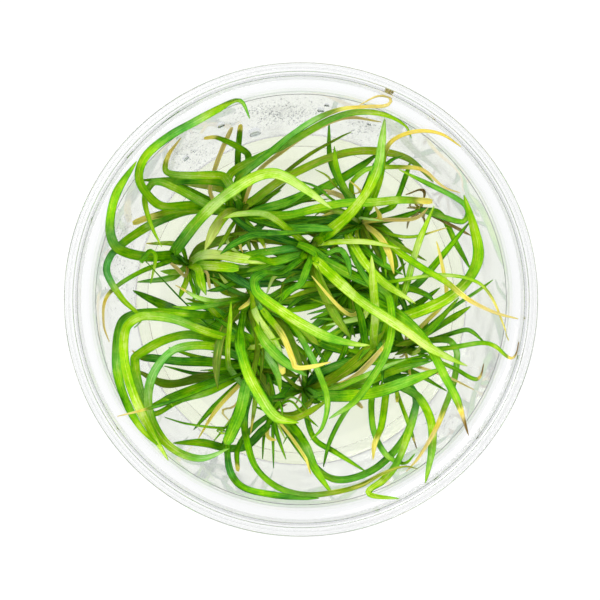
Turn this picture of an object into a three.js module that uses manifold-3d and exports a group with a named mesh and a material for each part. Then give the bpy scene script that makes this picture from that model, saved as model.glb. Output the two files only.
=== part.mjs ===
// A clear culture cup with a clump of grass-like water plants rooted in a layer of gel.
// Millimetres, +Z up, origin at the middle of the cup's foot.
import * as THREE from "three";
import { mergeVertices } from "three/addons/utils/BufferGeometryUtils.js";
import Module from "manifold-3d";

const wasm = await Module();
wasm.setup();

// Cup: a thin moulded wall that opens upwards, two ledges inside the mouth and a rolled rim.
const CUP_HEIGHT = 58;
const RIM_RADIUS = 50.5;
const WALL = 0.8;
const FLOOR_TOP = 2.6;
const FOOT_RADIUS = 34;
const FOOT_WIDTH = 4;
const FOOT_RECESS = 1.4;
const CORNER_RADIUS = 3;
const WALL_SLOPE = 0.172;
const LOWER_LEDGE = { height: 50, inner: 44.3, outer: 46.05 };
const UPPER_LEDGE = { height: 54, inner: 46.4, outer: 47.6 };
const LIP_CREST_RADIUS = 48.7;
const SKIRT_DROP = 6;
const CUP_SEGMENTS = 32;

// Gel: it fills the foot of the cup, and each shoot stands in a pocket of it.
const GEL_TOP = 14;
const GAP = 0.3;

// Shoots: a root tuft in the gel, a short crown on it, and the stubs that carry the long leaves.
const CROWN_TOP = 17;
const CROWN_RADIUS = 1.5;
const TUFT_TOP_RADIUS = 1.9;
const TUFT_FOOT_RADIUS = 1.1;
const TUFT_DEPTH = 7;
const CROWN_SIDES = 6;
const STUB_LENGTH = 4.3;
const FUSED_LENGTH = 7;

// Blades: flat above, with a keel below.
const BLADE_ABOVE = 0.14;
const KEEL_BELOW = 0.34;
const TIP_TAPER = 0.2;
const RING_SPACING = 5.7;
const SHORT_BLADE_SPACING = 7.4;
const RING_TURN = 0.52;
const BANK_MOST = 0.3;

// The clump is known from straight above, from an eye at this height over the rim. A route gives
// the points where a blade is seen from there, and its true place follows from its height.
const EYE_OVER_RIM = 500;

// How the blades settle on each other.
const BLADE_CLEARANCE = 0.34;
const SIDE_CLEARANCE = 0.35;
const SAMPLE_STEP = 0.8;
const SETTLE_ROUNDS = 1500;
const STEEPEST = 1.9;
const MOUTH_HALF = 31;
const MOUTH_FLOOR = 50.4;
const BLADE_CEILING = 56.4;

// One blade: width at its base and past its middle, height halfway and at its tip, and its route.
function blade(width, height, route) {
  return { width, height, route };
}

// Where each shoot stands, its long leaves and its short blades, all as seen from above.
const SHOOTS = [
  {
    name: "a",
    at: [-12.8, 18],
    leaves: [
      blade([1.7, 1.5], [47, 52], [[-19, 19.9], [-25, 19.9], [-29.5, 19.9], [-32.3, 21.8], [-34.2, 25],
        [-34.2, 28], [-32.5, 31], [-29, 34], [-24, 36.9], [-18, 40.2], [-13.8, 42.4], [-12.2, 41.6], [-10.9, 38.4]]),
      blade([2, 1.1], [38, 37], [[-20.5, 19.4], [-27, 18], [-33, 15.2], [-38, 11.8], [-40.8, 8.5], [-41.2, 6],
        [-39.8, 2.6], [-37, -0.9], [-34.3, -3.5], [-33.8, -4.8], [-35.3, -6.1]]),
      blade([1.9, 1], [36, 51], [[-14.2, 23], [-16.5, 26.1], [-20, 26.4], [-24, 26.3], [-27.3, 26.5], [-28.6, 27.3],
        [-28.7, 29.3], [-27.3, 32], [-25.5, 34.2]]),
      blade([1.9, 0.7], [44, 40], [[-18.5, 19.3], [-24, 22.3], [-28.5, 24.4], [-31, 24.9], [-32.2, 23.8], [-33, 22],
        [-33.1, 20], [-32.3, 17], [-30.8, 13.7], [-29.5, 11.2]]),
      blade([1.5, 0.7], [45, 54], [[-13.3, 25.5], [-9.5, 28.6], [-6, 31.6], [-2, 34.9], [2, 37.6], [6, 39.6],
        [10.5, 40.8], [15, 41], [18.2, 41.2], [19.2, 42.3], [18.2, 43.1], [16.2, 43.2], [13.8, 41.9], [12.3, 41.2]]),
      blade([1.7, 0.9], [43, 46], [[-15.5, 22], [-15, 26.5], [-12, 28.7], [-8, 30.5], [-4, 32.6], [0, 34.8], [4, 37],
        [8, 39], [12, 39.8], [16, 39.6], [19.5, 38.6], [22, 37], [23.2, 35.3], [23.5, 34.2]]),
      blade([1.6, 1.4], [35, 33], [[-9, 22], [-6, 24.2], [-3, 26], [0, 27.5], [3, 28.9], [6, 30.1], [9, 31],
        [12, 31.5], [15, 31.6], [18, 31.2], [21, 30.5], [24, 29.2], [26, 27.8], [28.1, 25]]),
      blade([1.7, 1.6], [31, 34], [[-5, 17.8], [0, 18.2], [5, 19.8], [10, 20.5], [15, 20.6], [20, 21.1], [25, 21],
        [27.9, 20.8]]),
    ],
    blades: [
      blade([1.4, 1.5], [34, 36], [[-18, 19.2], [-24, 19], [-28, 18.6], [-32, 17.5], [-35.7, 16.2]]),
      blade([1.5, 1.4], [34, 48], [[-15, 24], [-20, 25.2], [-26, 25.2], [-30, 25.6], [-33.6, 25.3]]),
      blade([1.3, 1.3], [27, 29], [[-16, 22.9], [-20, 24], [-25, 24.5]]),
      blade([1, 1], [27, 31], [[-20, 21], [-24, 23.5], [-27.3, 25.2]]),
      blade([0.9, 0.9], [30, 40], [[-16, 18.8], [-19.3, 20.5], [-19.2, 24], [-18.2, 27.5], [-16.3, 31.5],
        [-15, 34.5], [-14, 37.3]]),
      blade([1.2, 1.1], [28, 36], [[-13.2, 23], [-13.4, 28], [-13.3, 33], [-12.8, 37]]),
      blade([1.2, 1.3], [32, 40], [[-11.5, 23], [-10.8, 28], [-11.5, 30.8], [-14.5, 33.2], [-17, 34.2], [-19, 34.5],
        [-20.6, 34.2]]),
      blade([0.8, 0.6], [30, 37], [[-8, 22.5], [-3.5, 26.8], [0, 29.6], [3, 31.5], [6, 33.2], [8, 34.3],
        [10.7, 35.5]]),
      blade([1.9, 1.7], [24, 30], [[-8, 18.7], [-4, 19.9], [0, 21.4], [4, 23.2], [8, 25.3], [11, 27], [14, 29.3],
        [16.3, 31]]),
      blade([0.9, 0.7], [38, 46], [[-11.5, 24], [-5, 30.6], [0, 34], [5.5, 37.5], [9.5, 38.6], [13, 38.3],
        [17, 37.7]]),
    ],
  },
  {
    name: "b",
    at: [-9.5, -14.5],
    leaves: [
      blade([1.3, 2.1], [38, 51], [[-12.5, -8.7], [-17, -7.9], [-22, -6.1], [-27, -4.2], [-31, -3.5], [-34.5, -3.8],
        [-36.9, -5.8], [-37.7, -9], [-37.2, -14], [-35.9, -19], [-33.8, -24], [-31.3, -28.8], [-29.6, -32],
        [-28.2, -34.1]]),
      blade([1.9, 1.9], [30, 36], [[-12, -9], [-16, -6.4], [-20, -4.8], [-25, -2.9], [-30, -0.8], [-33, 0.5],
        [-35.6, 1.9]]),
      blade([1.6, 1.8], [34, 42], [[-15, -10], [-19, -8.4], [-24, -7.4], [-29, -8.6], [-33, -10.6], [-35.1, -12.6],
        [-35, -15.5], [-33.8, -20], [-32, -25]]),
      blade([1.5, 1.8], [43, 39], [[-16, -10.6], [-22, -9.8], [-27, -10.8], [-30.5, -14.3], [-32.3, -19],
        [-32.2, -23.5], [-31, -27], [-28.5, -30.6], [-24.5, -33], [-20.5, -33.7], [-17, -32.8], [-15.2, -31.6]]),
      blade([1.6, 1.3], [31, 34], [[-16, -17.5], [-24, -20], [-31, -20.5], [-36, -16.5], [-38.4, -12], [-38.8, -8],
        [-39, -3], [-38.2, 0.6], [-36, 4.3], [-33.5, 8], [-32.3, 10.2], [-31, 9.6], [-30.9, 7.5], [-31.3, 5],
        [-31.8, 3.3]]),
      blade([1.6, 1.8], [27, 31], [[-16.5, -13.4], [-22, -13.2], [-28, -13], [-32, -12.4], [-34.2, -12.2],
        [-35.8, -10.8]]),
      blade([2, 2.6], [36, 41], [[-11.5, -18], [-12.2, -22], [-13.3, -25], [-14.6, -28], [-15.8, -30.7]]),
      blade([1.3, 1.3], [36, 49], [[-12.4, -20], [-14, -25], [-15.3, -28], [-15.5, -32], [-15.3, -35.5],
        [-13.8, -38.6], [-11, -40.4], [-7, -41.3], [-2, -41.8], [1.5, -42.3], [3.8, -42.2]]),
      blade([1.3, 0.7], [45, 50.9], [[-10.8, -20], [-12, -25], [-11.6, -29], [-10.4, -34], [-8.5, -37], [-6, -39.2],
        [-3, -40.6], [1, -41.4], [5, -41.2], [9, -40.5], [13, -39.3], [16, -38], [18.5, -36.3], [20.5, -35.6],
        [22.5, -35.4], [24.8, -36]]),
    ],
    blades: [
      blade([1.6, 1.8], [25, 32], [[-15, -14.8], [-20, -16.2], [-24, -17.3], [-28, -17.9], [-31.5, -17],
        [-35, -15]]),
      blade([1.6, 1.8], [26, 34], [[-16, -16.3], [-20, -18], [-24, -19.4], [-28, -21], [-31.5, -22.5]]),
      blade([0.7, 0.6], [41, 54.5], [[-14, -16.8], [-20, -19], [-28, -21.8], [-34, -23.6], [-36.5, -24.2],
        [-39, -24.8]]),
      blade([1.3, 0.8], [30, 38], [[-16, -18.8], [-20, -19.5], [-24, -20.8], [-28, -22.5], [-31.2, -24.3],
        [-32, -23.3], [-30.5, -22], [-28.4, -21.2], [-27, -21.8], [-27.1, -22.8]]),
      blade([1.1, 1.1], [24, 28], [[-15.5, -19.5], [-17.5, -21.8], [-20, -24.5], [-22.8, -27.6]]),
      blade([0.8, 0.8], [29, 33], [[-13.5, -18.5], [-16, -20.8], [-18, -23.5], [-20.3, -27], [-21.7, -29.5]]),
      blade([0.6, 0.5], [33, 38], [[-13, -23], [-15.5, -27], [-20, -26.8], [-24, -26.4], [-27, -26],
        [-28.9, -25]]),
      blade([0.9, 0.9], [22, 24], [[-16.5, -12.9], [-20, -12.6], [-24.5, -11.6], [-28, -10.2]]),
      blade([0.8, 0.7], [20, 22], [[-17, -15.7], [-21.5, -15.8], [-25.5, -15], [-29, -14.1]]),
      blade([1.1, 1.2], [28, 34], [[-9.5, -21.5], [-10, -25], [-10.7, -28.5]]),
      blade([1.9, 1.7], [25, 29], [[-12, -11.3], [-14.5, -7.8], [-17, -4.5], [-19.5, -1.8], [-21, 0.2]]),
      blade([1.5, 1.4], [25, 29], [[-12.2, -20], [-13.4, -24.5], [-15, -28], [-16.8, -31]]),
    ],
  },
  {
    name: "c",
    at: [10.3, 2],
    leaves: [
      blade([2, 2.1], [42, 44], [[14, -2.8], [20.5, -3.8], [24.5, -2.6], [28.5, -1.2], [31.8, 0.8], [34.6, 3.3],
        [36.7, 6.3], [37.6, 9.5], [37.3, 12.8], [36.5, 16], [35.9, 19.5], [34.6, 22.2]]),
      blade([1.6, 1.7], [44, 41], [[14, 3.4], [17.5, 2], [18.8, 0], [19.3, -3], [19.2, -7], [18, -11.5], [16, -15],
        [13.5, -19], [11, -22], [8.5, -24], [6, -25.3]]),
      blade([1.2, 1.2], [39, 38], [[17.5, 0.4], [21.4, 0.8], [23, 4.5], [24, 9.5], [25.3, 13], [26.5, 16.5],
        [28.2, 19.8]]),
      blade([1.8, 1.5], [46, 54.5], [[17, -1], [22.5, -4.3], [25, -6.8], [27.3, -10], [29.3, -13.8], [31.3, -17.8],
        [33.2, -21.5], [34.8, -25], [35.5, -28.8]]),
    ],
    blades: [
      blade([1.4, 1.3], [26, 37], [[17, 1.6], [24, 2.8], [27, 6], [30, 9.3], [33, 12.8], [35.8, 16.5]]),
      blade([0.7, 0.5], [43, 51.5], [[18, 3.5], [29, 5.2], [36, 4.4], [38.5, 2.8], [40.3, 0.7], [41.5, -2],
        [43, -5.5], [44.2, -8.8]]),
      blade([1.6, 1.7], [26, 28], [[13, -2.5], [16.5, -5], [19, -4.7], [22.5, -2.5], [26, 0.3], [29.5, 2.5]]),
      blade([1.3, 1.3], [28, 30], [[16.5, 2.3], [20, 2.5], [24, 2.2], [27, 0.8], [28.5, -0.8]]),
      blade([1.2, 1.1], [33, 33], [[13.4, -0.6], [13.8, -3.2], [11, -4.4], [8, -4.9], [5.3, -5.5]]),
      blade([0.8, 0.7], [36, 37], [[12.4, -1], [11.4, -3.2], [9.4, -2.8], [8, -1.5], [6, 0.7], [4, 3], [2.3, 5]]),
      blade([1.8, 1.6], [25, 26], [[6, 4.2], [1.5, 5.1], [-2, 5.6], [-6, 5], [-9, 4]]),
      blade([1.4, 1.1], [27, 28], [[6, 2.9], [2, 3.4], [-1, 2.6], [-3, 1.3], [-5.5, 0.2]]),
      blade([1.5, 1.3], [21, 22], [[5, 1], [0, 0.2], [-5, -0.8]]),
      blade([1.6, 1.6], [22, 24], [[6, 6.3], [1.5, 8.2], [-3, 8], [-8, 7.7], [-12.5, 7]]),
      blade([1.3, 1.3], [24, 27], [[14, 4.6], [17, 8], [18.5, 12.5]]),
      blade([1.5, 1.4], [21, 22], [[8.5, -3], [4.5, -6.5], [-1, -8.8]]),
      blade([1.3, 1], [28, 30], [[8.4, -1.2], [6, -2.6], [2, -4.2]]),
      blade([1.3, 1.1], [28, 29], [[14, 0.6], [19, -2.2], [23.5, -5], [26.4, -8], [28.3, -11.8]]),
    ],
  },
  {
    name: "d",
    at: [12.8, 16.3],
    leaves: [
      blade([1.4, 0.9], [45, 54.5], [[18.5, 12], [23, 8.3], [27, 6], [31, 3.6], [34.5, 0.6], [38, -1.2], [42, -3.1],
        [46, -4.1]]),
      blade([1.2, 0.7], [42, 54.6], [[15.3, 21], [17.2, 27], [17.6, 30.5], [18.8, 33], [21, 34.8], [24.5, 35.7],
        [28, 35.7], [31, 34.5], [34, 32.4]]),
      blade([1.6, 1.5], [42, 43], [[10.6, 13.4], [11.2, 11], [13.2, 8.2], [15.8, 5.2], [19, 2.4], [22, 0.6],
        [24.3, -0.8]]),
    ],
    blades: [
      blade([1.1, 1.1], [28, 33], [[11, 21.2], [9, 23.4], [7.5, 25.8], [6.5, 28.3], [6.1, 31], [6, 34],
        [6, 37.8]]),
      blade([1.2, 1.2], [24, 28], [[13, 22], [15, 26.5], [16.3, 30.3]]),
      blade([0.8, 0.8], [30, 35], [[15, 22], [17.8, 28.2], [19.5, 29.8], [21.5, 30.4]]),
      blade([0.9, 0.8], [33, 42], [[10.8, 21], [10.8, 24.6], [14, 27.6], [18, 28], [22, 28.1], [25.5, 27.7],
        [28, 25.8], [30.3, 23.8], [33.8, 22.6]]),
      blade([1.1, 1.1], [28, 31], [[17, 18.7], [19.8, 20.2], [21.2, 23.3], [22.3, 26.3], [23.2, 29.3]]),
      blade([1.5, 1.6], [24, 26], [[16.5, 15.5], [19, 13.8], [21.5, 11.3], [23.3, 9.7]]),
      blade([0.6, 0.5], [30, 33], [[17, 14.5], [20, 14], [23, 13.3], [26, 13.5], [29, 14.2], [31, 15.2]]),
      blade([0.8, 0.7], [30, 32], [[19, 17], [22, 16.8], [25, 17.5], [27, 19.5]]),
      blade([1, 1], [21, 24], [[17.5, 16.7], [20.5, 17], [23, 18.2], [25.5, 19.2]]),
      blade([1.1, 1.3], [34, 33], [[16, 14], [18.3, 11], [19, 8], [19.8, 5.5]]),
      blade([0.7, 0.6], [26, 28], [[17, 13], [20.5, 10], [21.7, 6.5], [22.3, 3.8]]),
      blade([1, 1], [25, 26], [[15, 13.2], [16, 10], [17, 7.5], [18, 5]]),
      blade([0.9, 0.8], [28, 28], [[11, 19.5], [9, 21.5], [7, 22.6], [4.5, 22]]),
      blade([1.8, 1.6], [27, 28], [[8.5, 17.2], [4.5, 16.6], [-1, 16], [-7, 15.6]]),
      blade([1.6, 1.5], [23, 24], [[9.5, 15.9], [5, 15.5], [0, 14.4], [-4, 13.9], [-9.5, 13.8]]),
    ],
  },
  {
    name: "e",
    at: [25.2, 19.2],
    leaves: [],
    blades: [
      blade([1.1, 0.8], [41, 37], [[30, 17.6], [34.6, 16.6], [35.4, 18.8], [34, 20.8], [31.5, 22], [28, 24],
        [24, 26.1], [20.8, 27.6]]),
      blade([1, 0.9], [31, 36], [[29, 22], [31, 21], [31.8, 19.2], [32.8, 17], [33.8, 15], [35, 13.9],
        [36, 13.6]]),
      blade([0.6, 0.5], [31, 38], [[29.5, 20.6], [32, 20], [34, 19], [35.3, 18]]),
      blade([0.7, 0.6], [23, 26], [[26.6, 22.8], [24.5, 23.2], [22.3, 22.2]]),
      blade([1.1, 1.1], [34, 34], [[29, 18.6], [30.8, 16.4], [32, 13.8], [33.7, 10.5], [35.3, 7.3], [36, 6.3]]),
    ],
  },
  {
    name: "f",
    at: [2, 11.3],
    leaves: [
      blade([2.4, 1.7], [47, 49], [[5, 13.5], [8, 16], [11, 18.8], [13.5, 22], [15.5, 25.5], [16.6, 29], [17, 32],
        [17.4, 35], [17.8, 38.3]]),
      blade([2.2, 1.6], [49, 46], [[4, 7.5], [7, 4.8], [10, 2], [13, -0.5], [16, -2.7], [19, -4.3], [22, -6.3],
        [25, -8.6], [28, -10.6], [31, -12.2], [35.3, -14.1]]),
      blade([2, 1.9], [45, 44], [[-1, 7.8], [-4, 5.7], [-7.6, 5.6], [-9.8, 4.2], [-9.3, 1.6], [-6.5, -0.7],
        [-3, -3.2], [1, -5.7], [5, -7.7], [9.5, -9.3], [14.6, -9.7]]),
    ],
    blades: [
      blade([1.6, 1.6], [42, 41], [[-2, 14.3], [-6, 17.5], [-10, 18.5], [-13, 18.2], [-16.5, 17.2]]),
      blade([1.8, 1.8], [29, 33], [[2.4, 14.5], [3.4, 17.8]]),
      blade([1.5, 1.5], [34, 36], [[-2, 10.9], [-6, 10.1], [-12.5, 9.6]]),
      blade([1, 1], [37, 38], [[4.8, 11.8], [8, 12.4], [12, 12.4], [16, 12], [19.5, 11.3], [21, 10.8]]),
      blade([0.8, 0.7], [32, 32], [[0, 7.9], [-2, 7.1], [-5, 5.4], [-6.7, 3.6], [-7.4, 1]]),
    ],
  },
  {
    name: "g",
    at: [22, -10],
    leaves: [
      blade([1.2, 1], [40, 51], [[27.5, -8.5], [31.5, -8.8], [33, -11], [32.7, -16], [31.5, -20.5], [29.8, -24.5],
        [28.2, -28.2], [26.5, -31.5], [24.2, -34.5], [22.3, -36.5]]),
      blade([1.1, 0.6], [46, 54.6], [[28, -10.9], [33, -10], [35.5, -9.6], [38.5, -9.2], [41, -9.8], [43, -11.2],
        [44.9, -12.6], [45.9, -11], [46.2, -9]]),
    ],
    blades: [
      blade([1.5, 1.4], [36, 37], [[26.3, -8.5], [27.7, -6], [29.8, -2.9], [33.5, 0.3]]),
      blade([1.8, 1.7], [33, 34], [[28, -6.6], [32, -4], [36, -1.5]]),
      blade([0.9, 0.8], [31, 39], [[27.3, -8.8], [31, -8], [34, -6.6], [36, -6.6], [38, -8], [38.8, -9]]),
      blade([0.8, 0.7], [39, 47], [[26, -11.5], [31, -13.5], [34.5, -15.8], [37.2, -16.9], [38.6, -15.4],
        [38.8, -13.6]]),
      blade([0.7, 0.6], [38, 43], [[27, -6], [32, -1.8], [36, 1], [39, 2.7], [40.6, 4]]),
      blade([0.8, 0.8], [40, 38], [[26, -5], [30, -1.2], [30.9, 0.9], [30.7, 3], [30.3, 6], [29.6, 9],
        [28.7, 12.3]]),
      blade([0.6, 0.5], [28, 34], [[22.6, -13], [23, -15], [23.5, -17.7]]),
      blade([2.1, 1.8], [26, 27], [[19.5, -7], [16.5, -5.7], [12.5, -6.6], [7.5, -7.8]]),
    ],
  },
  {
    name: "h",
    at: [-24, 7.5],
    leaves: [
      blade([2, 1.6], [37, 54.4], [[-28, 9.3], [-32, 9.1], [-36, 9.6], [-38.8, 10.9], [-40.3, 13.4], [-40.5, 16.3],
        [-39.9, 19.5], [-39.1, 22.5], [-38, 25.5], [-36.5, 28], [-34.9, 29.3]]),
      blade([2.2, 1.9], [47, 45], [[-26.4, 10.4], [-25, 12.8], [-23.5, 14.7], [-21, 17.5], [-18, 20.5], [-15, 22.8],
        [-12, 24.7], [-9.5, 26.1], [-7, 26.8], [-5, 26.7], [-2, 25.6], [1, 23.3], [4, 21], [6.5, 19.3]]),
      blade([1, 0.6], [38, 48], [[-28.5, 7.9], [-32.5, 6.6], [-36.5, 4.5], [-39.6, 2.4], [-41.3, 0.3], [-42, -2.3],
        [-41.8, -5.5], [-40.6, -9]]),
    ],
    blades: [
      blade([1.9, 1.9], [37, 36], [[-20, 9.6], [-16, 9.3], [-12, 8.6], [-7.2, 7.6]]),
      blade([1.2, 1.1], [26, 30], [[-25.5, 11.2], [-29, 11.9], [-32.8, 11.9]]),
      blade([1.9, 1.9], [29, 31], [[-20, 7.2], [-16, 7.5], [-11, 6.9]]),
      blade([1.9, 2.1], [24, 25], [[-19.5, 5.5], [-15, 5.2], [-10, 6.3], [-3, 7.2]]),
      blade([1.4, 1.6], [25, 28], [[-21.7, 5.6], [-20.8, 3.2], [-20.2, 1]]),
      blade([1.3, 1.3], [29, 32], [[-26, 5], [-28.5, 4.7], [-31, 4.5], [-34.7, 3.7]]),
    ],
  },
  {
    name: "k",
    at: [0.5, -19],
    leaves: [
      blade([1.3, 1.1], [37, 42], [[6, -19.2], [9, -18], [12, -16], [15, -13], [17.5, -10.7], [18.9, -8.3]]),
      blade([2.2, 2.3], [42, 41], [[4, -20.3], [10, -20.4], [16, -19.6], [20, -18.3], [24, -17], [30, -14.6]]),
    ],
    blades: [
      blade([1.4, 1.4], [23, 26], [[-2.5, -20], [-6.2, -20.8]]),
      blade([1, 1], [26, 36], [[1.2, -25], [2.8, -29.4], [6, -31.8], [9, -33], [12, -34.5], [13.8, -36.5]]),
      blade([1.5, 1.5], [29, 33], [[4, -15.5], [8, -14], [12, -12.8], [19, -13.8], [27, -11.5]]),
      blade([0.8, 0.8], [22, 25], [[5, -20], [8.5, -20.8], [10.5, -22], [12.2, -23.8]]),
      blade([0.6, 0.5], [27, 31], [[1, -23.5], [3, -26.5], [6, -29.8]]),
      blade([2.3, 2], [26, 29], [[4.5, -17.6], [8, -15.8], [12, -14], [16, -12.6]]),
      blade([1.6, 1.5], [36, 38], [[5, -20], [10, -18.9], [14, -17.2], [18, -15.7], [23, -13.9], [28, -13]]),
      blade([1.2, 0.9], [40, 41], [[5.5, -19.6], [9, -18.4], [13, -16.4], [17, -14.6], [22.4, -12.6]]),
    ],
  },
  {
    name: "m",
    at: [18.5, -15],
    leaves: [
      blade([1.4, 1.3], [41, 54.6], [[22.5, -17.5], [24.3, -20.5], [24.3, -23], [23.3, -27], [21.8, -31],
        [20.3, -34.8], [18.5, -37.6], [15.7, -39.6], [14.2, -41], [16.2, -41.9], [20.8, -42.3]]),
      blade([1.3, 0.9], [31, 44], [[15.3, -19.5], [15, -24], [15.3, -27], [16.2, -30], [17.5, -32.3], [19.5, -34],
        [21.5, -34.7], [23.3, -34.2], [24.2, -32.8]]),
      blade([1.6, 1.5], [38, 54.6], [[21.5, -18.5], [24, -20], [26, -22], [27.3, -25], [27.9, -28], [28, -30],
        [27.5, -33], [26.6, -36], [26.4, -38.8]]),
      blade([1.5, 1.6], [45, 47], [[15.6, -10.5], [15.6, -6], [15.8, -3], [15.6, 0], [15.3, 3], [15.1, 6],
        [15, 9.3]]),
    ],
    blades: [
      blade([1.3, 1.3], [33, 36], [[18, -20.3], [17.3, -24], [16.8, -28], [15.5, -31], [15.3, -34]]),
      blade([0.8, 0.7], [28, 40], [[20.5, -20], [21.8, -23], [22.7, -26], [23.6, -29], [24.5, -31.5]]),
      blade([1.1, 1.1], [23, 28], [[22.5, -15], [26.5, -16.5], [28.5, -17.8], [31, -19.5]]),
      blade([0.6, 0.5], [36, 45], [[23, -14], [28, -15.4], [33, -17], [36.6, -19.1]]),
      blade([0.9, 0.8], [31, 31], [[13, -19.5], [9.5, -23.8], [7, -28], [5.7, -31.5], [4.7, -35.5]]),
    ],
  },
  {
    name: "n",
    at: [-6, -24],
    leaves: [
      blade([1.5, 1.5], [29, 42], [[-9, -29], [-12, -31.3], [-15, -31.6], [-19, -30.8], [-23, -30.1],
        [-27, -30.5]]),
      blade([1.6, 1.5], [33, 48], [[-1.3, -27], [0.8, -30.5], [2.3, -34.5], [4.3, -38.2], [6.8, -41.5]]),
      blade([1.3, 1.4], [37, 28], [[-3.4, -27.2], [-1.5, -29.6], [0, -32], [2, -34.5], [4.5, -36.8], [8, -38.2],
        [11, -38], [14, -36.8], [17, -35], [19, -33], [21, -30.5], [22.5, -28], [23.3, -25.5], [24, -22]]),
    ],
    blades: [
      blade([0.8, 0.8], [30, 49], [[-2.5, -28], [1.5, -32.8], [3, -38], [3.9, -42]]),
      blade([1, 1], [26, 35], [[-10.5, -27.5], [-13.4, -31.5], [-13.4, -36.3]]),
      blade([0.8, 0.8], [25, 29], [[-5.3, -27.6], [-4.6, -30], [-4, -32], [-3.2, -33.9]]),
      blade([0.6, 0.5], [23, 30], [[-6, -28], [-5.4, -31], [-5.2, -33.5], [-5.8, -35.8]]),
      blade([0.6, 0.5], [24, 28], [[-7.6, -28], [-8.3, -31], [-8.1, -33.8]]),
      blade([0.7, 0.6], [36, 39], [[-3, -26.2], [-0.7, -29], [0.6, -32.5], [2, -37]]),
      blade([1.3, 1.2], [33, 34], [[-1.5, -25.3], [1.5, -24], [4, -22.3], [6, -21]]),
      blade([1.3, 0.9], [33, 38], [[-8.4, -21.7], [-10.2, -20.2], [-12, -18.7], [-14, -16.3], [-15.4, -13.5],
        [-15.5, -10], [-15.2, -6], [-14.9, -3], [-14.8, -0.5]]),
    ],
  },
  {
    name: "p",
    at: [-10.5, 0.5],
    leaves: [
      blade([1.4, 1.1], [47, 46], [[-7.5, -3], [-5.5, -5.3], [-3.8, -7.8], [-2.3, -10.5], [-1.7, -12.8],
        [-0.9, -14.4], [1, -14.5], [3.5, -14], [6.3, -13.2]]),
      blade([1.4, 1.3], [37, 36], [[-6, -1.8], [-2.6, -4.5], [0.6, -9.2], [2.8, -13.5], [4.6, -17.5], [5.6, -21],
        [5.3, -25], [4, -28], [2, -29.8]]),
      blade([2.2, 2.3], [45, 44], [[-12.6, -4.5], [-12.6, -11.5], [-10.5, -17], [-8, -21.5], [-5.5, -24.8],
        [-3, -26.2], [-0.5, -26.2]]),
      blade([1.5, 1.8], [36, 51], [[-16, -2.9], [-24, -3], [-31, -2.6], [-35.8, -3], [-38.4, -5.2], [-39.2, -9],
        [-39.2, -12.5], [-38.9, -16], [-37.8, -20], [-36, -24], [-33.7, -27.7], [-31.2, -30.5], [-29.8, -31.5]]),
    ],
    blades: [
      blade([1.4, 1.4], [42, 40], [[-9.9, -2.5], [-8.3, -5], [-6, -8.3], [-4.5, -11.5], [-3.7, -15.8]]),
      blade([1, 0.8], [37, 39], [[-14, 0], [-18, -0.4], [-20, -0.2], [-22, 0.6], [-24.5, 1.8], [-26.7, 3]]),
      blade([0.9, 0.8], [30, 34], [[-15, -1.7], [-22, -1.7], [-27.5, -1.5]]),
      blade([2, 2.1], [27, 26], [[-5, -4], [1, -8], [6, -9.7], [11, -11.8], [15, -12.6]]),
      blade([1.3, 1.4], [32, 34], [[-10.6, -4], [-9.6, -8.2], [-7.4, -11.2], [-5.7, -13.8], [-4.7, -17],
        [-4.3, -19.7]]),
    ],
  },
];

// Places a point that is seen at x, y and lies at height z at its true place.
function truePlace(x, y, z) {
  const scale = (EYE_OVER_RIM + CUP_HEIGHT - z) / EYE_OVER_RIM;
  return [x * scale, y * scale, z];
}

// Inner radius of the cup at a height.
function innerRadius(z) {
  if (z > UPPER_LEDGE.height) {
    return UPPER_LEDGE.outer;
  }
  if (z > LOWER_LEDGE.height) {
    return LOWER_LEDGE.outer;
  }
  return LOWER_LEDGE.inner - WALL_SLOPE * (LOWER_LEDGE.height - z);
}

// Lowest height at which a blade that is seen at a radius stays inside the cup.
function lowestHeight(seenRadius, halfWidth) {
  const first = GEL_TOP + 1;
  const step = 0.2;
  for (let z = first; z < BLADE_CEILING; z += step) {
    const reach = truePlace(seenRadius, 0, z)[0] + halfWidth + GAP;
    if (reach < innerRadius(z - 2 * KEEL_BELOW)) {
      return z;
    }
  }
  return BLADE_CEILING;
}

// Highest height over a seen point: the mouth's middle is kept free.
function highestHeight(x, y) {
  const inMouth = Math.max(Math.abs(x), Math.abs(y)) < MOUTH_HALF + 1;
  return inMouth ? MOUTH_FLOOR - 0.5 : BLADE_CEILING;
}

// The height that a blade is grown to, before it settles on the others.
function grownHeight(shape, along) {
  const [middle, tip] = shape.height;
  const half = 0.45;
  if (along < half) {
    const left = 1 - along / half;
    return CROWN_TOP - 1 + (middle - CROWN_TOP + 1) * (1 - left * left);
  }
  const u = (along - half) / (1 - half);
  return middle + (tip - middle) * u * u * (3 - 2 * u);
}

// Width of a blade along its length: it narrows to a point.
function widthAt(shape, along) {
  const [base, late] = shape.width;
  const taper = Math.min(1, (1 - along) / TIP_TAPER);
  return (base + (late - base) * along) * Math.pow(taper, 0.7);
}

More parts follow.
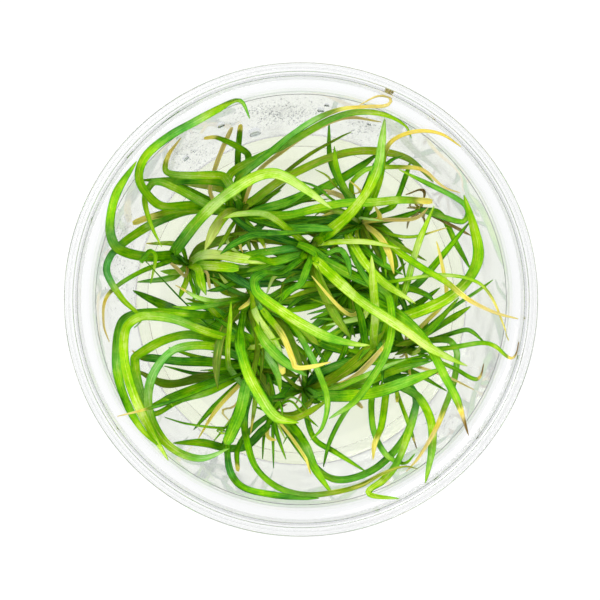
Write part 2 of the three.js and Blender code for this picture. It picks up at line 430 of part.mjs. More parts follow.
// Picks the rings of a blade along its route: at most so far apart, and closer where it turns.
function ringsOf(shape, at, spacing) {
  const points = [at, ...shape.route].map(([x, y]) => new THREE.Vector3(x, y, 0));
  const curve = new THREE.CatmullRomCurve3(points, false, "centripetal");
  const total = curve.getLength();
  const steps = Math.ceil(total * 3);
  const fine = curve.getSpacedPoints(steps);
  const places = [0];
  let turned = 0;
  let last = 0;
  for (let i = 1; i < steps; i += 1) {
    const before = fine[i].clone().sub(fine[i - 1]);
    const after = fine[i + 1].clone().sub(fine[i]);
    turned += before.angleTo(after);
    const gone = ((i - last) * total) / steps;
    const atStub = last === 0 && (i * total) / steps >= STUB_LENGTH;
    const due = last > 0 && (gone > spacing || (turned > RING_TURN && gone > 1.4));
    const clearOfTip = ((steps - i) * total) / steps > 2.2;
    if ((atStub || due) && clearOfTip) {
      places.push(i);
      last = i;
      turned = 0;
    }
  }
  places.push(steps);
  return places.map((i) => ({
    x: fine[i].x,
    y: fine[i].y,
    along: i / steps,
    length: (i * total) / steps,
    half: widthAt(shape, i / steps) / 2,
  }));
}

// Grows every blade of every shoot, with the rings that its solid will have.
function growBlades() {
  const grown = [];
  for (const shoot of SHOOTS) {
    const kinds = [[shoot.leaves, true], [shoot.blades, false]];
    for (const [shapes, isLeaf] of kinds) {
      shapes.forEach((shape, i) => {
        const rings = ringsOf(shape, shoot.at, isLeaf ? RING_SPACING : SHORT_BLADE_SPACING);
        const order = grown.length;
        for (const ring of rings) {
          ring.low = lowestHeight(Math.hypot(ring.x, ring.y), ring.half);
          ring.high = highestHeight(ring.x, ring.y);
          ring.wish = Math.min(Math.max(grownHeight(shape, ring.along), ring.low), ring.high);
          ring.z = ring.wish;
          ring.bank = BANK_MOST * Math.sin(2.4 * order + 3 * ring.along) * Math.min(1, ring.length / 10);
        }
        rings[0].z = CROWN_TOP - 1;
        rings[0].wish = rings[0].z;
        grown.push({ shoot: shoot.name, at: shoot.at, name: `leaf_${shoot.name}${i + 1}`, isLeaf, rings });
      });
    }
  }
  return grown;
}

// Points along a blade, each held between two of its rings.
function samplesOf(grown) {
  const samples = [];
  grown.forEach((one, owner) => {
    for (let i = 0; i + 1 < one.rings.length; i += 1) {
      const a = one.rings[i];
      const b = one.rings[i + 1];
      const count = Math.ceil((b.length - a.length) / SAMPLE_STEP);
      for (let k = 0; k < count; k += 1) {
        const t = (k + 0.5) / count;
        const bank = Math.abs(a.bank + (b.bank - a.bank) * t);
        const half = a.half + (b.half - a.half) * t;
        const x = a.x + (b.x - a.x) * t;
        const y = a.y + (b.y - a.y) * t;
        const length = a.length + (b.length - a.length) * t;
        const low = lowestHeight(Math.hypot(x, y), half);
        samples.push({ owner, a, b, t, x, y, length, half, low, lean: half * Math.sin(bank) });
      }
    }
  });
  return samples;
}

// Height of a blade at a sample.
function heightAt(sample) {
  return sample.a.z + (sample.b.z - sample.a.z) * sample.t;
}

// How much deeper a sloping blade is when it is measured straight down.
function slopeDepth(sample) {
  return Math.hypot(1, (sample.b.z - sample.a.z) / (sample.b.length - sample.a.length));
}

// Whether two samples belong to one grown piece near its crown.
function grownTogether(grown, p, q) {
  const first = grown[p.owner];
  const second = grown[q.owner];
  if (first.shoot !== second.shoot) {
    return false;
  }
  const inShoot = (one, sample) => !one.isLeaf || sample.length < STUB_LENGTH;
  const near = Math.max(p.length, q.length) < FUSED_LENGTH;
  return near && inShoot(first, p) && inShoot(second, q);
}

// Finds where blades lie over each other, and which of the two passes over.
function findCrossings(grown, samples) {
  const cell = 3;
  const cells = new Map();
  const key = (i, j) => `${i},${j}`;
  samples.forEach((sample, index) => {
    const id = key(Math.floor(sample.x / cell), Math.floor(sample.y / cell));
    cells.set(id, [...(cells.get(id) ?? []), index]);
  });
  const byPair = new Map();
  samples.forEach((p, index) => {
    for (const di of [-1, 0, 1]) {
      for (const dj of [-1, 0, 1]) {
        const id = key(Math.floor(p.x / cell) + di, Math.floor(p.y / cell) + dj);
        for (const other of cells.get(id) ?? []) {
          const q = samples[other];
          const reach = p.half + q.half + SIDE_CLEARANCE;
          const same = p.owner === q.owner;
          if (other <= index || Math.hypot(p.x - q.x, p.y - q.y) > reach) {
            continue;
          }
          if ((same && q.length - p.length < 6) || grownTogether(grown, p, q)) {
            continue;
          }
          const pair = `${p.owner},${q.owner}`;
          byPair.set(pair, [...(byPair.get(pair) ?? []), [p, q]]);
        }
      }
    }
  });
  const crossings = [];
  for (const touching of byPair.values()) {
    touching.sort((one, two) => one[0].length - two[0].length);
    let group = [];
    const close = () => {
      const lead = group.reduce((sum, [p, q]) => sum + heightAt(p) - heightAt(q), 0);
      group.forEach(([p, q]) => crossings.push({ p, q, sign: lead >= 0 ? 1 : -1 }));
      group = [];
    };
    for (const pair of touching) {
      if (group.length && pair[0].length - group[group.length - 1][0].length > 3) {
        close();
      }
      group.push(pair);
    }
    close();
  }
  return crossings;
}

// Moves a sample's two rings up or down by an amount.
function shift(sample, amount) {
  const { a, b, t } = sample;
  const weight = (1 - t) * (1 - t) + t * t;
  a.z += (amount * (1 - t)) / weight;
  b.z += (amount * t) / weight;
}

// Keeps a blade inside the cup, off the crowns, and no steeper than a blade stands.
function holdBlade(one, crowns) {
  const rings = one.rings;
  rings[0].z = CROWN_TOP - 1;
  for (let i = 1; i < rings.length; i += 1) {
    const ring = rings[i];
    const run = ring.length - rings[i - 1].length;
    const most = STEEPEST * run;
    const rise = ring.z - rings[i - 1].z;
    if (Math.abs(rise) > most) {
      const extra = (Math.abs(rise) - most) * Math.sign(rise);
      const share = i === 1 ? 1 : 0.5;
      ring.z -= extra * share;
      rings[i - 1].z += extra * (1 - share);
    }
  }
  for (const ring of rings.slice(1)) {
    ring.z = Math.min(Math.max(ring.z, ring.low), ring.high);
    for (const crown of crowns) {
      const away = Math.hypot(ring.x - crown.at[0], ring.y - crown.at[1]);
      if (crown.name !== one.shoot && away < CROWN_RADIUS + ring.half + 2.5) {
        ring.z = Math.max(ring.z, CROWN_TOP + 1.2);
      }
    }
  }
}

// Lets the blades settle: each keeps clear of those that it crosses, and stays smooth.
function settle(grown) {
  const samples = samplesOf(grown);
  const crossings = findCrossings(grown, samples);
  for (let round = 0; round < SETTLE_ROUNDS; round += 1) {
    const ease = Math.max(0, 1 - round / (0.7 * SETTLE_ROUNDS));
    for (const one of grown) {
      const rings = one.rings;
      for (let i = 1; i < rings.length; i += 1) {
        const before = rings[i - 1];
        const after = rings[i + 1] ?? rings[i];
        const level = (before.z + after.z) / 2;
        rings[i].z += ease * (0.08 * (level - rings[i].z) + 0.01 * (rings[i].wish - rings[i].z));
      }
    }
    for (const { p, q, sign } of crossings) {
      const depth = (BLADE_ABOVE + KEEL_BELOW) * 0.5 * (slopeDepth(p) + slopeDepth(q));
      const need = depth + BLADE_CLEARANCE + p.lean + q.lean;
      const short = need - sign * (heightAt(p) - heightAt(q));
      if (short > 0) {
        shift(p, (sign * short) / 2);
        shift(q, (-sign * short) / 2);
      }
    }
    for (const sample of samples) {
      const short = sample.low - heightAt(sample);
      if (short > 0) {
        shift(sample, short);
      }
    }
    grown.forEach((one) => holdBlade(one, SHOOTS));
  }
}

// The corners of one ring of a blade's solid, and its way on.
function cornersOf(place, ahead, half, bank) {
  const way = ahead.clone().normalize();
  const side = new THREE.Vector3(-way.y, way.x, 0).normalize();
  const up = new THREE.Vector3().crossVectors(way, side).normalize();
  const edge = side.clone().multiplyScalar(Math.cos(bank)).addScaledVector(up, Math.sin(bank));
  const above = new THREE.Vector3().crossVectors(way, edge).normalize();
  return [
    place.clone().addScaledVector(edge, half).addScaledVector(above, BLADE_ABOVE),
    place.clone().addScaledVector(edge, -half).addScaledVector(above, BLADE_ABOVE),
    place.clone().addScaledVector(above, -KEEL_BELOW),
  ];
}

// Splits a four-cornered face along the diagonal that stands out, so that a twist stays solid.
function splitFace(places, [a, b, c, d]) {
  const toB = places[b].clone().sub(places[a]);
  const toC = places[c].clone().sub(places[a]);
  const toD = places[d].clone().sub(places[a]);
  const standsOut = toB.cross(toC).dot(toD) < 0;
  return standsOut ? [a, b, c, a, c, d] : [a, b, d, b, c, d];
}

// The solid of a stretch of a blade, from ring to ring, with a pointed or a cut end.
function bladeSolid(rings, first, last, pointed, trim) {
  const centres = rings.map((ring) => new THREE.Vector3(ring.x, ring.y, ring.z));
  const corners = [];
  for (let i = first; i <= last; i += 1) {
    const isTip = pointed && i === last;
    const before = centres[Math.max(i - 1, first)];
    const after = centres[Math.min(i + 1, last)];
    const place = centres[i].clone();
    const ahead = after.clone().sub(before);
    if (i === first && trim.start) {
      place.addScaledVector(ahead.clone().normalize(), trim.start);
    }
    if (i === last && trim.end) {
      place.addScaledVector(ahead.clone().normalize(), -trim.end);
    }
    corners.push(isTip ? [place] : cornersOf(place, ahead, rings[i].half, rings[i].bank));
  }
  const places = corners.flat().map(({ x, y, z }) => new THREE.Vector3(...truePlace(x, y, z)));
  const faces = [0, 2, 1];
  for (let ring = 0; ring + 1 < corners.length; ring += 1) {
    const base = 3 * ring;
    for (let side = 0; side < 3; side += 1) {
      const next = (side + 1) % 3;
      if (corners[ring + 1].length === 1) {
        faces.push(base + side, base + next, base + 3);
      } else {
        faces.push(...splitFace(places, [base + side, base + next, base + next + 3, base + side + 3]));
      }
    }
  }
  if (!pointed) {
    const end = 3 * (corners.length - 1);
    faces.push(end, end + 1, end + 2);
  }
  const geometry = new THREE.BufferGeometry().setFromPoints(places);
  geometry.setIndex(faces);
  return geometry;
}

// Turns a geometry into a solid that can be joined and cut.
function toSolid(geometry) {
  const plain = geometry.clone();
  plain.deleteAttribute("normal");
  plain.deleteAttribute("uv");
  const merged = mergeVertices(plain, 1e-4);
  const vertProperties = new Float32Array(merged.attributes.position.array);
  const triVerts = new Uint32Array(merged.index.array);
  return new wasm.Manifold(new wasm.Mesh({ numProp: 3, vertProperties, triVerts }));
}

// Turns a joined or cut solid back into a geometry.
function toGeometry(solid) {
  const mesh = solid.getMesh();
  const geometry = new THREE.BufferGeometry();
  geometry.setAttribute("position", new THREE.BufferAttribute(mesh.vertProperties, 3));
  geometry.setIndex(new THREE.BufferAttribute(mesh.triVerts, 1));
  return geometry;
}

// A body turned about an upright axis from its half outline, given from the foot up.
function turned(outline, segments) {
  const profile = outline.map(([radius, z]) => new THREE.Vector2(radius, z));
  return new THREE.LatheGeometry(profile, segments).rotateX(Math.PI / 2);
}

// The cup's half outline: out under the foot, up the outside, over the rim and down the inside.
function cupOutline() {
  const wallFoot = innerRadius(FLOOR_TOP + CORNER_RADIUS);
  const floorEdge = wallFoot - CORNER_RADIUS;
  const lip = CUP_HEIGHT;
  const skirt = CUP_HEIGHT - SKIRT_DROP;
  const { inner: lowIn, outer: lowOut, height: low } = LOWER_LEDGE;
  const { inner: highIn, outer: highOut, height: high } = UPPER_LEDGE;
  return [
    [0, FOOT_RECESS],
    [FOOT_RADIUS - FOOT_WIDTH, FOOT_RECESS],
    [FOOT_RADIUS - FOOT_WIDTH + 0.8, 0],
    [FOOT_RADIUS, 0],
    [wallFoot + WALL, FLOOR_TOP + CORNER_RADIUS],
    [lowIn + WALL, low - WALL],
    [lowOut + WALL, low - WALL],
    [highIn + WALL, high - WALL],
    [highOut + WALL, high - WALL],
    [LIP_CREST_RADIUS, lip - WALL],
    [RIM_RADIUS - WALL, skirt],
    [RIM_RADIUS, skirt],
    [RIM_RADIUS - 0.2, lip - 1.4],
    [RIM_RADIUS - 1.1, lip - 0.2],
    [LIP_CREST_RADIUS, lip],
    [highOut + 0.3, lip - 0.8],
    [highOut, high],
    [highIn, high],
    [lowOut, low],
    [lowIn, low],
    [wallFoot, FLOOR_TOP + CORNER_RADIUS],
    [floorEdge + 0.5 * CORNER_RADIUS, FLOOR_TOP + 0.5],
    [floorEdge, FLOOR_TOP],
    [0, FLOOR_TOP],
  ];
}

// The gel's half outline: the shape of the cup's foot, with a gap all round.
function gelOutline() {
  const wallFoot = innerRadius(FLOOR_TOP + CORNER_RADIUS) - GAP;
  const floorEdge = wallFoot - CORNER_RADIUS;
  const bottom = FLOOR_TOP + GAP;
  return [
    [0, bottom],
    [floorEdge, bottom],
    [floorEdge + 0.5 * CORNER_RADIUS, bottom + 0.5],
    [wallFoot, FLOOR_TOP + CORNER_RADIUS + GAP],
    [innerRadius(GEL_TOP) - GAP, GEL_TOP + 0.5],
    [innerRadius(GEL_TOP) - 1.6, GEL_TOP],
    [0, GEL_TOP],
  ];
}

// A root tuft's half outline, grown by a gap where it is to be a pocket.
function tuftOutline(grow) {
  const foot = GEL_TOP - TUFT_DEPTH - grow;
  const outline = [[0, foot], [TUFT_FOOT_RADIUS + grow, foot], [TUFT_TOP_RADIUS + grow, GEL_TOP - 1]];
  return grow > 0
    ? [...outline, [TUFT_TOP_RADIUS + grow, GEL_TOP + 1], [0, GEL_TOP + 1]]
    : [...outline, [TUFT_TOP_RADIUS, GEL_TOP + 0.4], [CROWN_RADIUS, CROWN_TOP - 1.4], [0.8, CROWN_TOP], [0, CROWN_TOP]];
}

// The true place of a shoot's crown.
function crownPlace(shoot) {
  return truePlace(shoot.at[0], shoot.at[1], CROWN_TOP - 1);
}

// Cuts a pocket for each shoot into the gel.
function gelGeometry() {
  let solid = toSolid(turned(gelOutline(), CUP_SEGMENTS));
  for (const shoot of SHOOTS) {
    const [x, y] = crownPlace(shoot);
    const pocket = turned(tuftOutline(GAP), CROWN_SIDES).translate(x, y, 0);
    solid = solid.subtract(toSolid(pocket));
  }
  return toGeometry(solid);
}

// Joins a shoot's crown, the stubs of its leaves and its short blades.
function shootGeometry(shoot, grown) {
  const [x, y] = crownPlace(shoot);
  let solid = toSolid(turned(tuftOutline(0), CROWN_SIDES).translate(x, y, 0));
  for (const one of grown.filter((item) => item.shoot === shoot.name)) {
    const last = one.isLeaf ? 1 : one.rings.length - 1;
    const trim = { end: one.isLeaf ? GAP / 2 : 0 };
    solid = solid.add(toSolid(bladeSolid(one.rings, 0, last, !one.isLeaf, trim)));
  }
  return toGeometry(solid);
}

const CLEAR_PLASTIC = new THREE.MeshStandardMaterial({ color: "#eef3f6", roughness: 0.12, transparent: true });
CLEAR_PLASTIC.opacity = 0.35;
const GEL = new THREE.MeshStandardMaterial({ color: "#e6e9e2", roughness: 0.3 });
const LEAF_GREEN = new THREE.MeshStandardMaterial({ color: "#6fb81c", roughness: 0.4 });
const SHOOT_GREEN = new THREE.MeshStandardMaterial({ color: "#4f8f1e", roughness: 0.45 });

// Adds a named mesh to the plant.
function addPiece(group, name, geometry, material) {
  const flat = geometry.index ? geometry.toNonIndexed() : geometry;
  flat.computeVertexNormals();
  const mesh = new THREE.Mesh(flat, material);
  mesh.name = name;
  group.add(mesh);
}

// Builds the cup, the gel, the shoots and their leaves.
function buildPlant() {
  const group = new THREE.Group();
  const grown = growBlades();
  settle(grown);
  addPiece(group, "cup", turned(cupOutline(), CUP_SEGMENTS), CLEAR_PLASTIC);
  addPiece(group, "gel", gelGeometry(), GEL);
  for (const shoot of SHOOTS) {
    addPiece(group, `shoot_${shoot.name}`, shootGeometry(shoot, grown), SHOOT_GREEN);
  }
  for (const one of grown.filter((item) => item.isLeaf)) {
    const geometry = bladeSolid(one.rings, 1, one.rings.length - 1, true, { start: GAP / 2 });
    addPiece(group, one.name, geometry, LEAF_GREEN);
  }
  return group;
}

export default buildPlant();
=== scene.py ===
"""A clear culture cup with a clump of grass-like water plants, seen from straight above.

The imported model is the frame. Each blade is modelled again, finely, on the centre line of its
solid, and the cup and the gel are spun from smooth outlines. Lengths are in millimetres in the
named values and in metres in Blender.
"""

import logging
import math
import random
from dataclasses import dataclass, field
from enum import Enum, IntEnum

import bmesh
import bpy
from mathutils import Matrix, Vector, noise
from mathutils.geometry import interpolate_bezier


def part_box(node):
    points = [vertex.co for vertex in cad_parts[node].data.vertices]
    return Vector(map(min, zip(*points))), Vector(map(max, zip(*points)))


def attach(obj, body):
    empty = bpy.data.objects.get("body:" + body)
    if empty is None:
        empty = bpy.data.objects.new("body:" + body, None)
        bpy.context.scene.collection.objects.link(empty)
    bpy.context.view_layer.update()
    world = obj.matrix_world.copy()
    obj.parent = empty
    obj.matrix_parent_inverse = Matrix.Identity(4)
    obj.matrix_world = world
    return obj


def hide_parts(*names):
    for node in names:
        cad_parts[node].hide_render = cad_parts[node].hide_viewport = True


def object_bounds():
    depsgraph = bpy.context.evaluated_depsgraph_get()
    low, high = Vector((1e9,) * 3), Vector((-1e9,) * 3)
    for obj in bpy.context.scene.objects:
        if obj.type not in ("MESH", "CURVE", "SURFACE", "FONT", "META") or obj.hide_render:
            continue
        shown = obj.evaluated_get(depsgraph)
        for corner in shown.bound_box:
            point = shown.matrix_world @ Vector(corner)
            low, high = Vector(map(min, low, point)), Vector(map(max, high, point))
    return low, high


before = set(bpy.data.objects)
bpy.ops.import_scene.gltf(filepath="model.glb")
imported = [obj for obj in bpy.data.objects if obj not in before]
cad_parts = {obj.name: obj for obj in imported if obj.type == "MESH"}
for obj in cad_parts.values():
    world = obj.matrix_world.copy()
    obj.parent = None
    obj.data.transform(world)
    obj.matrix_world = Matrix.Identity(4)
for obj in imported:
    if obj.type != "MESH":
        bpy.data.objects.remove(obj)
CAD_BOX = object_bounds()

MM = 0.001
BODY = "root"
log = logging.getLogger("cup_plant")
Stops = tuple[tuple[float, str], ...]

# The cup's driving sizes, in millimetres. Its foot, shoulder and rim are finer than its solid's.
CUP_HEIGHT = (CAD_BOX[1].z - CAD_BOX[0].z) / MM
RIM_RADIUS = (CAD_BOX[1].x - CAD_BOX[0].x) / MM / 2
WALL = 0.8
SLANT_WALL = 0.33
RIM_WALL = 1.15
SKIRT_WALL = 1.0
FLOOR_TOP = 2.6
FOOT_RADIUS = 36.2
FOOT_WIDTH = 5.0
FOOT_RECESS = 0.4
CORNER_RADIUS = 0.15
WALL_SLOPE = 0.172
WALL_TOP = {"height": 50.0, "radius": 44.3}
LEDGE = {"height": 54.0, "inner": 46.2, "outer": 46.95}
# The shoulder curves from the wall's top out to the ledge: radius and height at its inside.
SHOULDER = ((44.6, 51.8), (45.3, 53.0))
LIP_CREST_RADIUS = 48.7
SKIRT_DROP = 6.0
GEL_TOP = 14.0
CROWN_TOP = 17.0

# The photograph's eye, over the rim, and the width that its frame takes in at the rim.
EYE_OVER_RIM = 500.0
FRAME_WIDTH = 127.3
EYE_OFFSET = (-0.21, -0.11)


def true_place(x: float, y: float, z: float) -> Vector:
    """Places a point that is seen at x, y and lies at height z.

    Args:
        x: Seen place across, in millimetres at the rim.
        y: Seen place up the picture, in millimetres at the rim.
        z: Height over the foot, in millimetres.

    Returns:
        The true place, in millimetres.
    """
    scale = (EYE_OVER_RIM + CUP_HEIGHT - z) / EYE_OVER_RIM
    return Vector((x * scale, y * scale, z))


def seen_place(place: Vector) -> Vector:
    """Finds where a true place is seen from above.

    Args:
        place: The true place, in millimetres.

    Returns:
        The seen place, in millimetres at the rim.
    """
    scale = (EYE_OVER_RIM + CUP_HEIGHT - place.z) / EYE_OVER_RIM
    return Vector((place.x / scale, place.y / scale))


def inner_radius(z: float) -> float:
    """Gives the cup's inner radius at a height below its ledges, in millimetres."""
    return WALL_TOP["radius"] - WALL_SLOPE * (WALL_TOP["height"] - z)


def smooth_step(low: float, high: float, value: float) -> float:
    """Rises smoothly from 0 at low to 1 at high.

    Args:
        low: Where the rise starts.
        high: Where the rise ends.
        value: Where to read it.

    Returns:
        The height of the rise, from 0 to 1.
    """
    t = min(1.0, max(0.0, (value - low) / (high - low)))
    return t * t * (3 - 2 * t)


def linear(hex_colour: str) -> tuple[float, float, float, float]:
    """Turns an sRGB hex colour into linear values.

    Args:
        hex_colour: The colour, such as "#7fb51e".

    Returns:
        Red, green, blue and alpha, linear.
    """
    digits = hex_colour.lstrip("#")
    channels = [int(digits[i : i + 2], 16) / 255 for i in (0, 2, 4)]
    curved = [c / 12.92 if c <= 0.04045 else ((c + 0.055) / 1.055) ** 2.4 for c in channels]
    return (curved[0], curved[1], curved[2], 1.0)


def add_node(tree: bpy.types.NodeTree, kind: str, settings: dict, links: dict) -> bpy.types.Node:
    """Adds a shader node with its settings and its incoming links.

    Args:
        tree: The material's node tree.
        kind: The node's type name.
        settings: Values by property name, or by "in:SOCKET" for an input's own value.
        links: Output sockets by the name or number of the input that they feed.

    Returns:
        The new node.
    """
    node = tree.nodes.new(kind)
    for name, value in settings.items():
        if name.startswith("in:"):
            key = name[3:]
            node.inputs[int(key) if key.isdigit() else key].default_value = value
        else:
            setattr(node, name, value)
    for name, output in links.items():
        tree.links.new(output, node.inputs[name])
    return node


def set_ramp(node: bpy.types.Node, stops: Stops) -> None:
    """Gives a colour ramp its stops.

    Args:
        node: The colour ramp node.
        stops: Place and sRGB hex colour of each stop.
    """
    ramp = node.color_ramp
    while len(ramp.elements) > 1:
        ramp.elements.remove(ramp.elements[-1])
    ramp.elements[0].position = stops[0][0]
    ramp.elements[0].color = linear(stops[0][1])
    for place, colour in stops[1:]:
        ramp.elements.new(place).color = linear(colour)


def new_material(name: str) -> tuple[bpy.types.Material, bpy.types.NodeTree, bpy.types.Node]:
    """Makes an empty node material.

    Args:
        name: The finish's name.

    Returns:
        The material, its tree and its Principled shader.
    """
    material = bpy.data.materials.new(name)
    material.use_nodes = True
    tree = material.node_tree
    tree.nodes.clear()
    shader = add_node(tree, "ShaderNodeBsdfPrincipled", {}, {})
    add_node(tree, "ShaderNodeOutputMaterial", {}, {"Surface": shader.outputs["BSDF"]})
    return material, tree, shader


@dataclass(frozen=True)
class LivingLeaf:
    """Living strap leaf: satin cuticle over green tissue, with fine parallel veins.

    The eye sees fresh lime where the light reaches and deep green below, fine streaks along the
    blade, a paler midrib, and tips that fade through yellow and tan to brown.

    Attributes:
        name: The material's name.
        veins: How many veins run along the blade.
        roughness: The cuticle's roughness.
        streaks: Share that the streaks have in the level of green.
        mottling: Share that the patches have.
        cells: Share that the cells have.
        vein_lines: Share that the veins have.
        greens: Colours from deep to pale, in the light.
        sheens: The same, with a painted bluish sheen: a highlight painted into the colour, partly a real
            teal hue of the blade.
        faded: Colours from first fading to dead.
    """

    name: str = "living strap leaf"
    veins: int = 5
    roughness: float = 0.4
    streaks: float = 0.8
    mottling: float = 0.6
    cells: float = 0.26
    vein_lines: float = 0.05
    greens: Stops = (
        (0.0, "#205c00"),
        (0.25, "#4c9800"),
        (0.5, "#78ba00"),
        (0.75, "#a4ce10"),
        (1.0, "#cfe67c"),
    )
    sheens: Stops = ((0.0, "#14601c"), (0.3, "#3c9030"), (0.6, "#58b050"), (1.0, "#a6dc9c"))
    faded: Stops = (
        (0.0, "#84980c"),
        (0.25, "#7c7418"),
        (0.46, "#ece270"),
        (0.6, "#dac044"),
        (0.76, "#d8c97e"),
        (1.0, "#6c5216"),
    )

    def make(self) -> bpy.types.Material:
        """Builds the material from the blade's own attributes and UV map.

        Returns:
            The leaf material.
        """
        material, tree, shader = new_material(self.name)
        uv = add_node(tree, "ShaderNodeUVMap", {"uv_map": "blade"}, {})
        split = add_node(tree, "ShaderNodeSeparateXYZ", {}, {0: uv.outputs[0]})
        # cast paints a bluish sheen into the colour, partly a real teal hue of the blade.
        tone, fade, sheen_and_hue = (
            add_node(tree, "ShaderNodeAttribute", {"attribute_name": name}, {}).outputs["Fac"]
            for name in ("tone", "fade", "sheen_and_hue")
        )
        place = add_node(tree, "ShaderNodeTexCoord", {}, {})
        off = add_node(tree, "ShaderNodeMath", {"operation": "SUBTRACT", "in:1": 0.5},
                       {0: split.outputs["X"]})
        # Streaks of tissue: a fifth of the width across, some 6 mm long. The map counts in
        # widths across and in centimetres along.
        stretch = add_node(tree, "ShaderNodeMapping", {"in:Scale": (5.0, 1.6, 1.0)}, {0: uv.outputs[0]})
        streak = add_node(tree, "ShaderNodeTexNoise", {"in:Scale": 1.0, "in:Detail": 2.0},
                          {"Vector": stretch.outputs[0]})
        # Cells between the cross veins: a seventh of the width across, 0.6 mm long.
        grid = add_node(tree, "ShaderNodeMapping", {"in:Scale": (7.0, 16.0, 1.0)}, {0: uv.outputs[0]})
        cell = add_node(tree, "ShaderNodeTexNoise", {"in:Scale": 1.0, "in:Detail": 1.0},
                        {"Vector": grid.outputs[0]})
        # Mottling about 2.5 mm across, as patches of deeper and paler tissue.
        patch = add_node(tree, "ShaderNodeTexNoise", {"in:Scale": 400.0, "in:Detail": 3.0},
                         {"Vector": place.outputs["Object"]})
        wave = add_node(tree, "ShaderNodeMath", {"operation": "MULTIPLY", "in:1": 2 * math.pi * self.veins},
                        {0: off.outputs[0]})
        vein = add_node(tree, "ShaderNodeMath", {"operation": "COSINE"}, {0: wave.outputs[0]})
        # The midrib is a paler line that fades out a tenth of the width to each side.
        away = add_node(tree, "ShaderNodeMath", {"operation": "ABSOLUTE"}, {0: off.outputs[0]})
        rib = add_node(tree, "ShaderNodeMapRange",
                       {"in:From Max": 0.1, "in:To Min": 0.09, "in:To Max": 0.0},
                       {0: away.outputs[0]})
        # The blade darkens towards its margins.
        margin = add_node(tree, "ShaderNodeMapRange",
                          {"in:From Min": 0.36, "in:From Max": 0.5, "in:To Min": 0.0, "in:To Max": -0.26},
                          {0: away.outputs[0]})
        level = tone
        parts = (
            (self.streaks, streak.outputs["Fac"]),
            (self.mottling, patch.outputs["Fac"]),
            (self.cells, cell.outputs["Fac"]),
            (self.vein_lines, vein.outputs[0]),
            (1.0, rib.outputs[0]),
            (1.0, margin.outputs[0]),
        )
        for share, output in parts:
            level = add_node(tree, "ShaderNodeMath", {"operation": "MULTIPLY_ADD", "in:1": share},
                             {0: output, 2: level}).outputs[0]
        level = add_node(tree, "ShaderNodeMath", {"operation": "SUBTRACT", "in:1": 0.71, "use_clamp": True},
                         {0: level}).outputs[0]
        green = add_node(tree, "ShaderNodeValToRGB", {}, {"Fac": level})
        set_ramp(green, self.greens)
        cool = add_node(tree, "ShaderNodeValToRGB", {}, {"Fac": level})
        set_ramp(cool, self.sheens)
        # Painted sheen: where cast is high the bluish sheen colours take over, partly a real teal hue.
        fresh = add_node(tree, "ShaderNodeMix", {"data_type": "RGBA"},
                         {"Factor": sheen_and_hue, "A": green.outputs[0], "B": cool.outputs[0]})
        spread = add_node(tree, "ShaderNodeMath", {"operation": "MULTIPLY_ADD", "in:1": 0.6},
                          {0: streak.outputs["Fac"], 2: fade})
        dying = add_node(tree, "ShaderNodeMath", {"operation": "SUBTRACT", "in:1": 0.3, "use_clamp": True},
                         {0: spread.outputs[0]})
        dead = add_node(tree, "ShaderNodeValToRGB", {}, {"Fac": dying.outputs[0]})
        set_ramp(dead, self.faded)
        # Fading sets in by streaks, and a little of it shows in fresh blades.
        lead = add_node(tree, "ShaderNodeMath",
                        {"operation": "MULTIPLY_ADD", "in:1": 2.0, "in:2": -0.54},
                        {0: fade})
        share = add_node(tree, "ShaderNodeMath",
                         {"operation": "MULTIPLY_ADD", "in:1": 1.2, "use_clamp": True},
                         {0: streak.outputs["Fac"], 2: lead.outputs[0]})
        colour = add_node(tree, "ShaderNodeMix", {"data_type": "RGBA"},
                          {"Factor": share.outputs[0], "A": fresh.outputs["Result"], "B": dead.outputs[0]})
        tree.links.new(colour.outputs["Result"], shader.inputs["Base Color"])
        relief = add_node(tree, "ShaderNodeMath", {"operation": "MULTIPLY_ADD", "in:1": 2.0},
                          {0: streak.outputs["Fac"], 2: vein.outputs[0]})
        bump = add_node(tree, "ShaderNodeBump", {"in:Strength": 0.35, "in:Distance": 0.00007},
                        {"Height": relief.outputs[0]})
        tree.links.new(bump.outputs[0], shader.inputs["Normal"])
        shader.inputs["Roughness"].default_value = self.roughness
        shader.inputs["IOR"].default_value = 1.42
        shader.inputs["Specular IOR Level"].default_value = 0.13
        # Light comes through the thin blade.
        shader.inputs["Subsurface Weight"].default_value = 0.5
        shader.inputs["Subsurface Radius"].default_value = (0.9, 1.0, 0.3)
        shader.inputs["Subsurface Scale"].default_value = 0.0006
        return material


